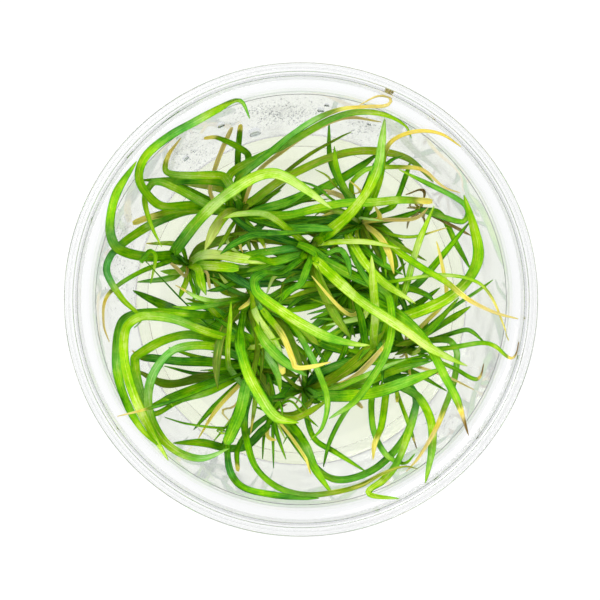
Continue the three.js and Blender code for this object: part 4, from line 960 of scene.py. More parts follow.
SPRIGS = (
    Sprig("h", 0.6, 25, ((-22, 6.5), (-20, 5.8), (-19.6, 4), (-19.3, 2.3)), 0.5, Fade.ALL_TAN, True),
    Sprig("h", 2.2, 27, ((-20.6, 7.3), (-16.8, 7), (-13.2, 6.6)), 0.6, Fade.GREEN, True),
    Sprig("h", 1.9, 29, ((-21.8, 6.4), (-21.2, 3.6), (-20.2, 1.2)), 0.58),
    Sprig("h", 1.3, 22, ((-25.5, 6), (-27.5, 5.8), (-29.8, 6)), 0.6),
    Sprig("h", 0.9, 24, ((-24.5, 5), (-26.5, 6.8), (-28.5, 8.4)), 0.5, Fade.ALL_TAN),
    Sprig("h", 1.2, 23, ((-24.3, 4), (-25.2, 1.8), (-25.8, 0.2)), 0.55),
    Sprig("h", 0.8, 22, ((-23.4, 4), (-22.6, 1.6), (-22.9, -1.2)), 0.3),
    Sprig("p", 1.2, 23, ((-12, 4), (-14, 3.6), (-17, 2.3), (-20, 1.8)), 0.15),
    Sprig("p", 1.3, 21, ((-13, 1), (-16, 1.5), (-18, 3.5), (-18.6, 5.5)), 0.7, Fade.OLIVE),
    Sprig("p", 1.0, 22, ((-13.5, 1.5), (-15.5, 3.2), (-17.5, 5.6)), 0.8),
    Sprig("p", 1.4, 20, ((-12.4, -0.6), (-14.4, 0.9), (-15.6, 2.2)), 0.5, Fade.OLIVE),
    Sprig("b", 2.2, 22, ((-7, -14.6), (-4, -15.2), (-0.6, -16.4)), 0.03, Fade.OLIVE),
    Sprig("b", 1.8, 21, ((-7, -16), (-4.6, -17.6), (-2, -18.6)), 0.02),
    Sprig("n", 1.4, 21, ((-4, -20), (-2, -17.5), (0, -15.6)), 0.05),
    Sprig("b", 0.5, 26, ((-24, -21), (-27.4, -22.4), (-28.6, -21.2), (-27.2, -20.6)), 0.7),
    Sprig("b", 2.4, 26, ((-11.8, -12.6), (-9.5, -12.4), (-7.6, -13.6), (-5.8, -14.4)), 0.12),
    Sprig("b", 1.1, 29, ((-11.5, -11.4), (-11.8, -10.3), (-9, -10), (-6.2, -8.9), (-4.4, -8.2)), 0.7),
    Sprig("b", 1.4, 23, ((-8, -11.5), (-6, -11.5), (-5, -13), (-5, -15.5)), 0.15),
    Sprig("b", 1.6, 21, ((-8.6, -16), (-7.4, -18), (-6.6, -20.5)), 0.05, Fade.OLIVE),
    Sprig("b", 0.5, 24, ((-14, -22.5), (-16.7, -23.6), (-15.2, -25.8)), 0.5, Fade.ALL_TAN),
    Sprig("b", 0.4, 24, ((-14.5, -27.5), (-17.8, -27.6), (-16.6, -28.4), (-13.6, -28.3)), 0.6),
    Sprig("b", 0.4, 22, ((-14, -24), (-17, -28.2), (-18.8, -30.3)), 0.5),
    Sprig("b", 1.1, 22, ((-12.6, -12.8), (-15.6, -11.6), (-19, -11.2)), 0.2),
    Sprig("b", 1.0, 21, ((-12.6, -15.8), (-16.4, -17.4), (-19.4, -18.6)), 0.1),
    Sprig("k", 0.8, 31, ((-1, -18.4), (-3.6, -16.2)), 0.2, Fade.OLIVE, True),
    Sprig("k", 1.1, 26, ((0.8, -17), (0.3, -14.5), (-0.5, -12.5)), 0.3),
    Sprig("k", 0.7, 25, ((1, -15), (1, -12), (3, -9.5), (5, -8)), 0.4),
    Sprig("k", 1.3, 21, ((1, -16), (2, -13), (2, -10)), 0.1),
    Sprig("k", 0.9, 24, ((8, -21), (11.4, -21.5), (13.1, -23)), 0.5, Fade.ALL_TAN, True),
    Sprig("n", 0.5, 24, ((-2.5, -21.5), (0, -23.8), (2, -25.6), (3.6, -27)), 0.4),
    Sprig("n", 0.4, 22, ((-3, -21), (-1, -21), (1.5, -23.6)), 0.5),
    Sprig("n", 1.1, 24, ((-4.5, -22), (-3.8, -24.5)), 0.35),
    Sprig("n", 0.9, 23, ((-7.2, -28.4), (-6.4, -29.6), (-5.2, -29.8)), 0.6, Fade.ALL_YELLOW),
    Sprig("n", 0.5, 24, ((-4.6, -27), (-3.3, -29.6)), 0.6),
    Sprig("n", 0.5, 24, ((-2.6, -27.6), (-3.8, -30.6)), 0.3),
    Sprig("n", 1.5, 21, ((-6, -21), (-6.6, -18), (-7, -15.5)), 0.1),
    Sprig("g", 1.2, 23, ((23.5, -10.2), (21.5, -11), (20, -11.8)), 0.1, Fade.OLIVE),
    Sprig("g", 1.5, 24, ((25, -8.8), (22.5, -9.2), (20, -9.8)), 0.2, Fade.OLIVE),
    Sprig("g", 1.0, 24, ((23.5, -11.5), (25.5, -10.2), (27, -7)), 0.7, Fade.YELLOW),
    Sprig("g", 0.9, 27, ((19, -8.5), (17.6, -9), (16.6, -12.4)), 0.45),
    Sprig("g", 1.7, 23, ((18, -10.8), (14, -11.4), (9.5, -10.6)), 0.2),
    Sprig("g", 0.9, 26, ((24, -8), (26, -6.2), (27.5, -3.5)), 0.5),
    Sprig("m", 1.4, 27, ((20, -14.5), (24, -13.2), (27.5, -12.6)), 0.3),
    Sprig("m", 1.4, 26, ((17.5, -17), (20, -16.6), (23, -15.8)), 0.05),
    Sprig("m", 0.8, 28, ((20.3, -19.5), (20.4, -21.7)), 0.6, Fade.YELLOW_TIP, True),
    Sprig("d", 1.2, 28, ((14.8, 16.8), (16.8, 17.4), (15.6, 20)), 0.6, Fade.ALL_YELLOW),
    Sprig("d", 0.5, 29, ((12.5, 17.3), (15, 17), (17.5, 16.7)), 0.85),
    Sprig("d", 1.0, 26, ((8, 18.6), (4.5, 17.8)), 0.85, Fade.YELLOW),
    Sprig("d", 0.5, 26, ((10, 19.6), (7, 21), (3, 24), (-1, 25.3)), 0.2),
    Sprig("d", 1.2, 24, ((10, 21), (7, 22.6), (4.8, 23.3)), 0.5, Fade.ALL_TAN),
    Sprig("d", 0.6, 28, ((11, 22), (12.6, 23), (10.2, 25.3)), 0.5, Fade.ALL_YELLOW),
    Sprig("d", 0.4, 28, ((9, 22.5), (7, 24.3), (5.6, 26.2), (3, 27.6)), 0.6, Fade.OLIVE),
    Sprig("d", 1.1, 33, ((11.6, 20.5), (9.8, 23), (8.3, 26), (7.4, 29), (7.1, 32.5)), 0.45),
    Sprig("d", 1.0, 24, ((12.4, 13.5), (12.6, 10.5), (13.6, 7)), 0.3),
    Sprig("d", 0.9, 25, ((13.2, 13.5), (15, 8.6), (17.4, 4.2)), 0.02, Fade.OLIVE),
    Sprig("d", 0.8, 26, ((12.2, 13.5), (13.6, 9), (15.6, 4.8)), 0.02),
    Sprig("d", 0.8, 26, ((14, 14), (16.4, 9.4), (18.6, 5.4)), 0.04, Fade.OLIVE),
    Sprig("a", 2.2, 33, ((-14.6, 18.6), (-16.4, 17.6), (-18.6, 14.4), (-20.4, 10.5)), 0.8, Fade.OLIVE),
    Sprig("a", 1.4, 28, ((-15.5, 18.8), (-10.4, 14.7), (-5.9, 14.1), (1.3, 14.3)), 0.05),
    Sprig("p", 0.8, 27, ((-11.2, -0.6), (-13, -2), (-11, -1)), 0.6, Fade.ALL_YELLOW),
    Sprig("d", 0.8, 24, ((13.6, 13.5), (14.6, 10), (16, 6.6)), 0.5, Fade.YELLOW),
    Sprig("d", 0.9, 25, ((11.8, 14), (13.2, 10.4), (14.6, 8)), 0.55, Fade.OLIVE),
    Sprig("f", 0.8, 22, ((-1, 12), (-4.5, 12.6), (-7.5, 11.6)), 0.7, Fade.YELLOW),
    Sprig("f", 1.3, 26, ((5, 9.6), (8.3, 10.6), (10, 8), (10.6, 4.8)), 0.2),
    Sprig("f", 1.5, 21, ((5, 8.5), (8, 8.6), (11, 9)), 0.1),
    Sprig("f", 1.5, 21, ((0, 9.6), (-3, 9.4), (-6.5, 9.8)), 0.1),
    Sprig("c", 1.3, 22, ((5.5, -0.3), (2.5, -1.4), (-0.5, -2), (-4, -2.6)), 0.3),
    Sprig("c", 1.0, 24, ((9, 3.2), (4, 2.4), (0, 1.3), (-3, 0.2)), 0.4, Fade.OLIVE),
    Sprig("c", 1.2, 23, ((12, 5), (14, 8), (15.5, 11.5)), 0.2),
    Sprig("c", 1.2, 24, ((13.5, 1), (17, 0.2), (21, -0.4)), 0.15),
    Sprig("c", 1.3, 22, ((12.5, -0.5), (15, -3), (17, -7)), 0.1),
    Sprig("c", 1.1, 22, ((10.5, -1.5), (10.5, -5), (11.5, -8)), 0.2),
    Sprig("p", 1.5, 23, ((-11.8, -3.6), (-10.2, -6.8), (-7, -8.6), (-3.6, -10.4)), 0.15),
    Sprig("p", 1.3, 22, ((-8.4, -1.2), (-5.6, -3.4), (-3, -6.2)), 0.12),
    Sprig("a", 0.9, 33, ((-16.5, 19), (-19.2, 22.6), (-18.4, 27.2), (-16.4, 32.6), (-14.6, 36.6)), 0.4,
          Fade.ALL_TAN, True),
    Sprig("a", 1.5, 24, ((-12.4, 15.5), (-13.2, 12.4), (-14.6, 9.8)), 0.02, Fade.OLIVE),
    Sprig("a", 1.4, 23, ((-11.6, 15.4), (-10, 12.4), (-8.9, 9.8)), 0.03, Fade.OLIVE),
    Sprig("a", 1.1, 24, ((-13.5, 15), (-14.2, 12), (-14.2, 9.5)), 0.1, Fade.OLIVE),
    Sprig("a", 1.0, 24, ((-12, 15), (-11.2, 12), (-10.6, 10)), 0.15, Fade.OLIVE),
    Sprig("a", 0.9, 26, ((-14.8, 15.4), (-16.2, 12.8), (-17.8, 10.4)), 0.55),
    Sprig("a", 0.7, 27, ((-13.8, 14), (-15.8, 12.9), (-14.5, 10.8), (-12.5, 9.6)), 0.85),
    Sprig("a", 0.8, 26, ((-12.6, 14.2), (-13, 11.5), (-12.3, 10)), 0.8, Fade.YELLOW),
    Sprig("a", 1.2, 25, ((-10.8, 15.6), (-8.6, 13), (-7.4, 10.4)), 0.5, Fade.YELLOW_TIP),
)


@dataclass
class Undergrowth:
    """The low, slight blades that fill a shoot under its longer ones.

    Attributes:
        each: How many low blades go with each longer one.
        roots: How many roots a crown has.
        swing: Least and most that one turns away from its longer neighbour, in degrees.
        reach: Least and most of the radius in the cup past which a low blade doesn't go, except
            from a crown farther out.
        lower: Least and most share of the longer blade's height over the crown that it keeps.
        width: Least and most share of the longer blade's width that it keeps.
        most_rings: How many rings of the longer blade it follows.
        ring_gap: Least distance from ring to ring, in millimetres.
        shortest: Length under which it isn't made, in millimetres.
        wall_gap: Gap that it and the roots keep to the cup, in millimetres.
        root_spread: Least and most that a root goes outwards, in millimetres.
        root_depth: Least and most that it goes down, in millimetres.
        root_bow: Most that it bends aside, in millimetres.
        root_halves: Its half width from crown to tip, in millimetres.
        seed: The number that its chances start from.
    """

    each: int = 2
    roots: int = 9
    swing: tuple[float, float] = (6.0, 36.0)
    reach: tuple[float, float] = (15.0, 30.0)
    lower: tuple[float, float] = (0.35, 0.8)
    width: tuple[float, float] = (0.65, 1.05)
    most_rings: int = 5
    ring_gap: float = 1.5
    shortest: float = 5.0
    wall_gap: float = 1.5
    root_spread: tuple[float, float] = (1.2, 5.0)
    root_depth: tuple[float, float] = (6.0, 11.0)
    root_bow: float = 1.2
    root_halves: tuple[float, ...] = (0.24, 0.22, 0.2, 0.17, 0.0)
    seed: int = 23

    def beside(self, path: BladePath, crown: Vector, number: int) -> list[BladePath]:
        """Grows low blades beside a longer one.

        Args:
            path: The longer blade's path.
            crown: The crown that both grow from, in millimetres.
            number: The longer blade's number.

        Returns:
            The low blades' paths.
        """
        chance = random.Random(self.seed + number)
        grown = []
        for k in range(self.each):
            turn = math.radians(chance.uniform(*self.swing)) * (1 if k % 2 else -1)
            limit = chance.uniform(*self.reach)
            lower = chance.uniform(*self.lower)
            width = chance.uniform(*self.width)
            low = self._bend(path, crown, turn, lower, width, limit)
            if low.length() > self.shortest:
                grown.append(low)
        return grown

    def _bend(self, path: BladePath, crown: Vector, turn: float, lower: float, width: float,
              limit: float) -> BladePath:
        """Copies the first part of a blade, turned about its crown, lower and narrower.

        Args:
            path: The blade to copy.
            crown: The crown, in millimetres.
            turn: The turn, in radians.
            lower: Share of its height over the crown that is kept.
            width: Share of its width that is kept.
            limit: Radius in the cup at which the copy ends, in millimetres.

        Returns:
            The copy's path.
        """
        rotation = Matrix.Rotation(turn, 3, "Z")
        centres, sides, halves = [crown.copy()], [rotation @ path.sides[0]], [0.4]
        for centre, side, half in zip(path.centres, path.sides, path.halves):
            place = crown + rotation @ (centre - crown)
            place.z = crown.z + 1 + (place.z - crown.z) * lower
            radius = math.hypot(place.x, place.y)
            too_far = radius > max(limit, crown.xy.length)
            outside = radius + self.wall_gap > inner_radius(place.z)
            if too_far or outside or len(centres) > self.most_rings:
                break
            if (place - centres[-1]).length > self.ring_gap:
                centres.append(place)
                sides.append(rotation @ side)
                halves.append(max(0.3, half * width))
        halves[-1] = 0.0
        return BladePath(centres, sides, halves)

    def root(self, crown: Vector, number: int, chance: random.Random) -> BladePath:
        """Grows one fine root from a crown, out and down into the gel.

        Args:
            crown: The crown, in millimetres.
            number: The root's number.
            chance: The source of its unevenness.

        Returns:
            The root's path.
        """
        turn = 2 * math.pi * (number + chance.uniform(0.0, 0.7)) / self.roots
        out = Vector((math.cos(turn), math.sin(turn), 0.0))
        across = Vector((-out.y, out.x, 0.0))
        spread = chance.uniform(*self.root_spread)
        depth = chance.uniform(*self.root_depth)
        bow = chance.uniform(-self.root_bow, self.root_bow)
        centres = []
        for share in (0.0, 0.2, 0.45, 0.72, 1.0):
            away = out * (0.4 + spread * share**0.7) + across * (bow * math.sin(3 * share))
            place = crown + away - Vector((0, 0, 2.2 + depth * share))
            inside = min(1.0, (inner_radius(place.z) - self.wall_gap) / math.hypot(place.x, place.y))
            centres.append(Vector((place.x * inside, place.y * inside, place.z)))
        return BladePath(centres, [across.copy() for _ in centres], list(self.root_halves))

    def sprig(self, sprig: Sprig, crown: Vector) -> BladePath:
        """Lays out one listed blade.

        Args:
            sprig: The blade.
            crown: The crown that it grows from, in millimetres.

        Returns:
            Its path.
        """
        start = seen_place(crown)
        seen = [start] + [Vector(point) for point in sprig.route]
        centres, sides, halves = [], [], []
        for i, point in enumerate(seen):
            way = seen[min(i + 1, len(seen) - 1)] - seen[max(i - 1, 0)]
            rise = 1 - (1 - i / (len(seen) - 1)) ** 2
            centres.append(true_place(point.x, point.y, crown.z + (sprig.height - crown.z) * rise))
            sides.append(Vector((-way.y, way.x, 0)).normalized())
            halves.append(sprig.width / 2 * (0.75 + 0.25 * rise))
        halves[-1] = 0.0
        return BladePath(centres, sides, halves)


class SeedStart(IntEnum):
    """Where the numbers start that set the unevenness of each kind of blade in a shoot."""

    SHORT = 0
    SHEATH = 50
    SPRIG = 80
    ROOT = 140
    LOW = 200


def letter_of(node: str) -> str:
    """Gives the letter of the shoot that a node belongs to, such as a for leaf_a1."""
    return node.split("_")[1][0]


@dataclass
class Clump:
    """All the shoots and their leaves.

    Attributes:
        leaf: The finish of every blade.
        shape: The form of the longer blades.
        slight: The form of the low blades and sprigs.
        root_shape: The form of the roots.
        reader: What reads the blades' paths.
        undergrowth: What lays out the low blades and roots.
        sheath_overlap: How far a leaf's base is drawn back into its sheath, in millimetres.
        crown_radii: Radius of a crown's tuft at its foot and of the crown at its top.
        crown_depth: Height of the crown and its tuft together.
        crown_middle: Height over the foot of the cup of their middle.
        low_shaded_tone: Tone of an unlisted blade that lies low, kept deep as painted shade.
        high_lit_lift: How much paler one is that lies high, as painted light.
        heights: Where it starts and stops getting paler, in millimetres.
        low_tones: Least and most tone of a low blade, kept deep as painted shade under the longer blades.
        green_share: Share of the low blades that are green and not olive.
        near_crown: Distance within which a short blade already meets its crown, in millimetres.
    """

    leaf: bpy.types.Material
    shape: BladeShape = field(default_factory=BladeShape)
    slight: BladeShape = field(default_factory=lambda: BladeShape(columns=4, step=1.2, thickness=0.16))
    root_shape: BladeShape = field(default_factory=lambda: BladeShape(columns=2, step=1.4, thickness=0.3))
    reader: BladeReader = field(default_factory=BladeReader)
    undergrowth: Undergrowth = field(default_factory=Undergrowth)
    sheath_overlap: float = 2.2
    crown_radii: tuple[float, float] = (0.5, 0.9)
    crown_depth: float = 5.0
    crown_middle: float = 13.4
    low_shaded_tone: float = 0.26
    high_lit_lift: float = 0.36
    heights: tuple[float, float] = (20, 44)
    low_tones: tuple[float, float] = (0.04, 0.42)
    green_share: float = 0.7
    near_crown: float = 0.8

    def build(self) -> list[bpy.types.Object]:
        """Builds every leaf and every shoot.

        Returns:
            The new pieces.
        """
        names = sorted(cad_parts)
        pieces = []
        starts: dict[str, list[BladePath]] = {}
        seed = 0
        for name in [n for n in names if n.startswith("leaf_")]:
            seed += 1
            path = self.reader.read(name)[0]
            starts.setdefault(letter_of(name), []).append(path)
            self._root_in_sheath(path)
            blade = self.shape.build(path, self._look_of(path), seed)
            piece = finish_piece(f"{name}_blade", blade, self.leaf)
            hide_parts(name)
            pieces.append(piece)
        for name in [n for n in names if n.startswith("shoot_")]:
            seed += 100
            pieces.append(self._shoot(name, starts.get(letter_of(name), []), seed))
        return pieces

    def _root_in_sheath(self, path: BladePath) -> None:
        """Draws a leaf's base back into the sheath that carries it.

        Args:
            path: The leaf's path, which grows at its base.
        """
        back = (path.centres[0] - path.centres[1]).normalized()
        path.centres.insert(0, path.centres[0] + back * self.sheath_overlap)
        path.sides.insert(0, path.sides[0].copy())
        path.halves.insert(0, path.halves[0] * 0.8)

    def _look_of(self, path: BladePath) -> Look:
        """Finds a blade's look: the listed one at its tip, or a green that deepens with depth as painted
        shade.

        Args:
            path: The blade's path.

        Returns:
            Its look.
        """
        tip = path.seen_tip()
        nearest = min(LOOKS, key=lambda look: (look.x - tip.x) ** 2 + (look.y - tip.y) ** 2)
        if math.hypot(nearest.x - tip.x, nearest.y - tip.y) < LOOK_REACH:
            return nearest
        # Painted shade: an unlisted blade that lies low gets a deeper green, one that lies high a paler one.
        height = sum(centre.z for centre in path.centres) / len(path.centres)
        return Look(tip.x, tip.y, self.low_shaded_tone + self.high_lit_lift * smooth_step(*self.heights, height))

    def _shoot(self, name: str, leaves: list[BladePath], seed: int) -> bpy.types.Object:
        """Builds one shoot: crown, sheaths, short blades and undergrowth.

        Args:
            name: The shoot's node.
            leaves: The paths of its long leaves.
            seed: A number that sets its small unevenness.

        Returns:
            The shoot's piece.
        """
        paths = self.reader.read(name)
        crown = self._crown_place(name)
        whole = bmesh.new()
        for layer in ATTRIBUTES:
            whole.verts.layers.float.new(layer)
        whole.loops.layers.uv.new("blade")
        chance = random.Random(seed)
        count = 0
        for i, path in enumerate(paths + leaves):
            for low in self.undergrowth.beside(path, crown, seed + i):
                fade = Fade.GREEN if chance.random() < self.green_share else Fade.OLIVE
                # Painted shade: the low blades take only deep tones.
                look = Look(0, 0, chance.uniform(*self.low_tones), fade)
                join_into(whole, self.slight.build(low, look, seed + SeedStart.LOW + count))
                count += 1
        for i, path in enumerate(paths):
            self._reach_crown(path, crown)
            join_into(whole, self.shape.build(path, self._look_of(path), seed + SeedStart.SHORT + i))
        for i, path in enumerate(leaves):
            look = self._look_of(path)
            base, next_place = path.centres[:2]
            sheath = BladePath(
                [crown.copy(), base.lerp(crown, 0.4), base.lerp(next_place, 0.7)],
                [path.sides[0].copy() for _ in range(3)],
                [0.45, path.halves[1] * 0.95, 0.0],
            )
            fade = Fade.OLIVE if look.fade.at(0.0) > 0 else Fade.GREEN
            dress = Look(0, 0, 0.55 * look.tone, fade)
            join_into(whole, self.shape.build(sheath, dress, seed + SeedStart.SHEATH + i))
        for i, sprig in enumerate(one for one in SPRIGS if one.shoot == letter_of(name)):
            look = Look(0, 0, sprig.tone, sprig.fade, sprig.blunt)
            low = self.undergrowth.sprig(sprig, crown)
            join_into(whole, self.slight.build(low, look, seed + SeedStart.SPRIG + i))
        tan = Look(0, 0, 0.5, Fade.ALL_TAN)
        for i in range(self.undergrowth.roots):
            root = self.undergrowth.root(crown, i, chance)
            join_into(whole, self.root_shape.build(root, tan, seed + SeedStart.ROOT + i))
        join_into(whole, self._crown(crown))
        piece = finish_piece(f"{name}_plant", whole, self.leaf)
        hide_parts(name)
        log.info("%s: %d short blades, %d sheaths, %d low blades", name, len(paths), len(leaves), count)
        return piece

    def _crown_place(self, name: str) -> Vector:
        """Finds the top of a shoot's crown from the foot of its root tuft.

        Args:
            name: The shoot's node.

        Returns:
            The crown's place, in millimetres.
        """
        low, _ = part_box(name)
        foot = [vert.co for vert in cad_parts[name].data.vertices if vert.co.z < low.z + 1e-5]
        middle = sum(foot, Vector()) / len(foot)
        return Vector((middle.x / MM, middle.y / MM, CROWN_TOP - 1))

    def _reach_crown(self, path: BladePath, crown: Vector) -> None:
        """Runs a short blade's base into its crown.

        Args:
            path: The blade's path, which grows at its base.
            crown: The crown's place, in millimetres.
        """
        if (path.centres[0] - crown).length > self.near_crown:
            path.centres.insert(0, crown.copy())
            path.sides.insert(0, path.sides[0].copy())
            path.halves.insert(0, path.halves[0] * 0.8)

    def _crown(self, crown: Vector) -> bmesh.types.BMesh:
        """Models a crown and its root tuft as one tapered, uneven body.

        Args:
            crown: The crown's place, in millimetres.

        Returns:
            The body, in metres.
        """
        body = bmesh.new()
        tone, fade, _ = (body.verts.layers.float.new(layer) for layer in ATTRIBUTES)
        body.loops.layers.uv.new("blade")
        foot, head = self.crown_radii
        bmesh.ops.create_cone(body, segments=12, radius1=foot * MM, radius2=head * MM,
                              depth=self.crown_depth * MM, cap_ends=True)
        upright = [edge for edge in body.edges if abs(edge.verts[0].co.z - edge.verts[1].co.z) > MM]
        bmesh.ops.subdivide_edges(body, edges=upright, cuts=5)
        for vert in body.verts:
            swell = 1 + 0.25 * noise.noise(vert.co * 900 + crown)
            vert.co.x = vert.co.x * swell + crown.x * MM
            vert.co.y = vert.co.y * swell + crown.y * MM
            vert.co.z += self.crown_middle * MM
            vert[tone] = 0.12
            vert[fade] = 0.3
        return body


@dataclass
class Cup:
    """The cup: one spun wall with a curved shoulder, a flat ledge, a rolled rim and a foot ring.

    Attributes:
        plastic: Its finish.
        steps: How many faces go round.
        shoulder_out: How far outside the shoulder's inside its outside lies, in millimetres.
        shoulder_down: How far below it lies, in millimetres.
    """

    plastic: bpy.types.Material
    steps: int = 224
    shoulder_out: float = 0.45
    shoulder_down: float = 0.4

    def outline(self) -> list[tuple[float, float, float]]:
        """Lists the half outline's corners.

        Returns:
            Radius, height and corner rounding of each corner, in millimetres.
        """
        wall_foot = inner_radius(FLOOR_TOP + CORNER_RADIUS)
        floor_edge = wall_foot - CORNER_RADIUS
        top = CUP_HEIGHT
        skirt = CUP_HEIGHT - SKIRT_DROP
        low = WALL_TOP["height"]
        high = LEDGE["height"]
        low_in, high_in, high_out = WALL_TOP["radius"], LEDGE["inner"], LEDGE["outer"]
        foot_inner = FOOT_RADIUS - FOOT_WIDTH
        groove = high_out + RIM_WALL
        skirt_inner = RIM_RADIUS - SKIRT_WALL
        return [
            # Outside, from the middle of the foot up to the rim.
            (0.0, FOOT_RECESS, 0.0),
            (foot_inner, FOOT_RECESS, 0.6),
            (foot_inner + 1.5, 0.0, 0.6),
            (FOOT_RADIUS, 0.0, 0.15),
            (wall_foot + SLANT_WALL, FLOOR_TOP + CORNER_RADIUS, 1.0),
            (low_in + SLANT_WALL, low - 0.3, 0.8),
            *((radius + self.shoulder_out, height - self.shoulder_down, 0.3) for radius, height in SHOULDER),
            (high_in + 0.4, high - WALL, 0.4),
            # The wall under the rim slants much as its inside does. The skirt hangs outside it.
            (groove - 0.4, high - WALL, 0.3),
            (groove + 0.45, top - WALL, 0.25),
            (skirt_inner - 0.1, top - WALL, 0.2),
            (skirt_inner, skirt, 0.1),
            (RIM_RADIUS, skirt, 0.1),
            (RIM_RADIUS - 0.05, top - 0.6, 0.4),
            (RIM_RADIUS - 0.6, top, 0.3),
            # Inside, from the lip's crest down to the middle of the floor.
            (LIP_CREST_RADIUS - 0.5, top, 0.4),
            (high_out + 0.55, top - 0.7, 0.3),
            (high_out, high, 0.25),
            (high_in, high, 0.4),
            *((radius, height, 0.3) for radius, height in reversed(SHOULDER)),
            (low_in, low, 0.0),
            (low_in - 0.08, low, 0.0),
            (wall_foot, FLOOR_TOP + CORNER_RADIUS, 0.05),
            (floor_edge, FLOOR_TOP, 0.05),
            (0.0, FLOOR_TOP, 0.0),
        ]

    def build(self) -> bpy.types.Object:
        """Spins the cup.

        Returns:
            The cup's piece.
        """
        shape = spin_outline(self.outline(), self.steps)
        piece = finish_piece("cup_wall", shape, self.plastic)
        even = piece.modifiers.new("even shading", "WEIGHTED_NORMAL")
        even.mode = "FACE_AREA"
        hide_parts("cup")
        return piece


def spin_outline(corners: list[tuple[float, float, float]], steps: int) -> bmesh.types.BMesh:
    """Rounds a half outline's corners and spins it round the upright axis.

    Args:
        corners: Radius, height and rounding of each corner, in millimetres.
        steps: How many faces go round.

    Returns:
        The closed body, in metres.
    """
    shape = bmesh.new()
    verts = [shape.verts.new((radius * MM, 0.0, z * MM)) for radius, z, _ in corners]
    for a, b in zip(verts, verts[1:]):
        shape.edges.new((a, b))
    for vert, (_, _, rounding) in zip(verts, corners):
        if rounding > 0:
            bmesh.ops.bevel(shape, geom=[vert], offset=rounding * MM, offset_type="OFFSET", segments=3,
                            profile=0.5, affect="VERTICES", material=-1)
    bmesh.ops.spin(shape, geom=shape.verts[:] + shape.edges[:], cent=(0, 0, 0), axis=(0, 0, 1),
                   dvec=(0, 0, 0), angle=2 * math.pi, steps=steps, use_merge=True, use_duplicate=False)
    bmesh.ops.remove_doubles(shape, verts=shape.verts[:], dist=1e-7)
    bmesh.ops.recalc_face_normals(shape, faces=shape.faces[:])
    return shape


@dataclass
class Gel:
    """The gel: a pale disc that climbs the wall a little at its edge.

    Attributes:
        gel: Its finish.
        steps: How many faces go round.
        climb: How far it climbs the wall, in millimetres.
        clearance: The gap that keeps it off the wall and the floor, in millimetres.
    """

    gel: bpy.types.Material
    steps: int = 128
    climb: float = 0.25
    clearance: float = 0.12

    def build(self) -> bpy.types.Object:
        """Spins the gel.

        Returns:
            The gel's piece.
        """
        wall_foot = inner_radius(FLOOR_TOP + CORNER_RADIUS) - self.clearance
        floor_edge = wall_foot - CORNER_RADIUS
        bottom = FLOOR_TOP + self.clearance
        edge = inner_radius(GEL_TOP + self.climb) - self.clearance
        shape = spin_outline(
            [
                (0.0, bottom, 0.0),
                (floor_edge, bottom, 0.05),
                (wall_foot, FLOOR_TOP + CORNER_RADIUS + self.clearance, 0.05),
                (edge, GEL_TOP + self.climb, 0.1),
                (edge - 0.5, GEL_TOP, 0.4),
                (0.0, GEL_TOP, 0.0),
            ],
            self.steps,
        )
        piece = finish_piece("gel_disc", shape, self.gel)
        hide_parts("gel")
        return piece


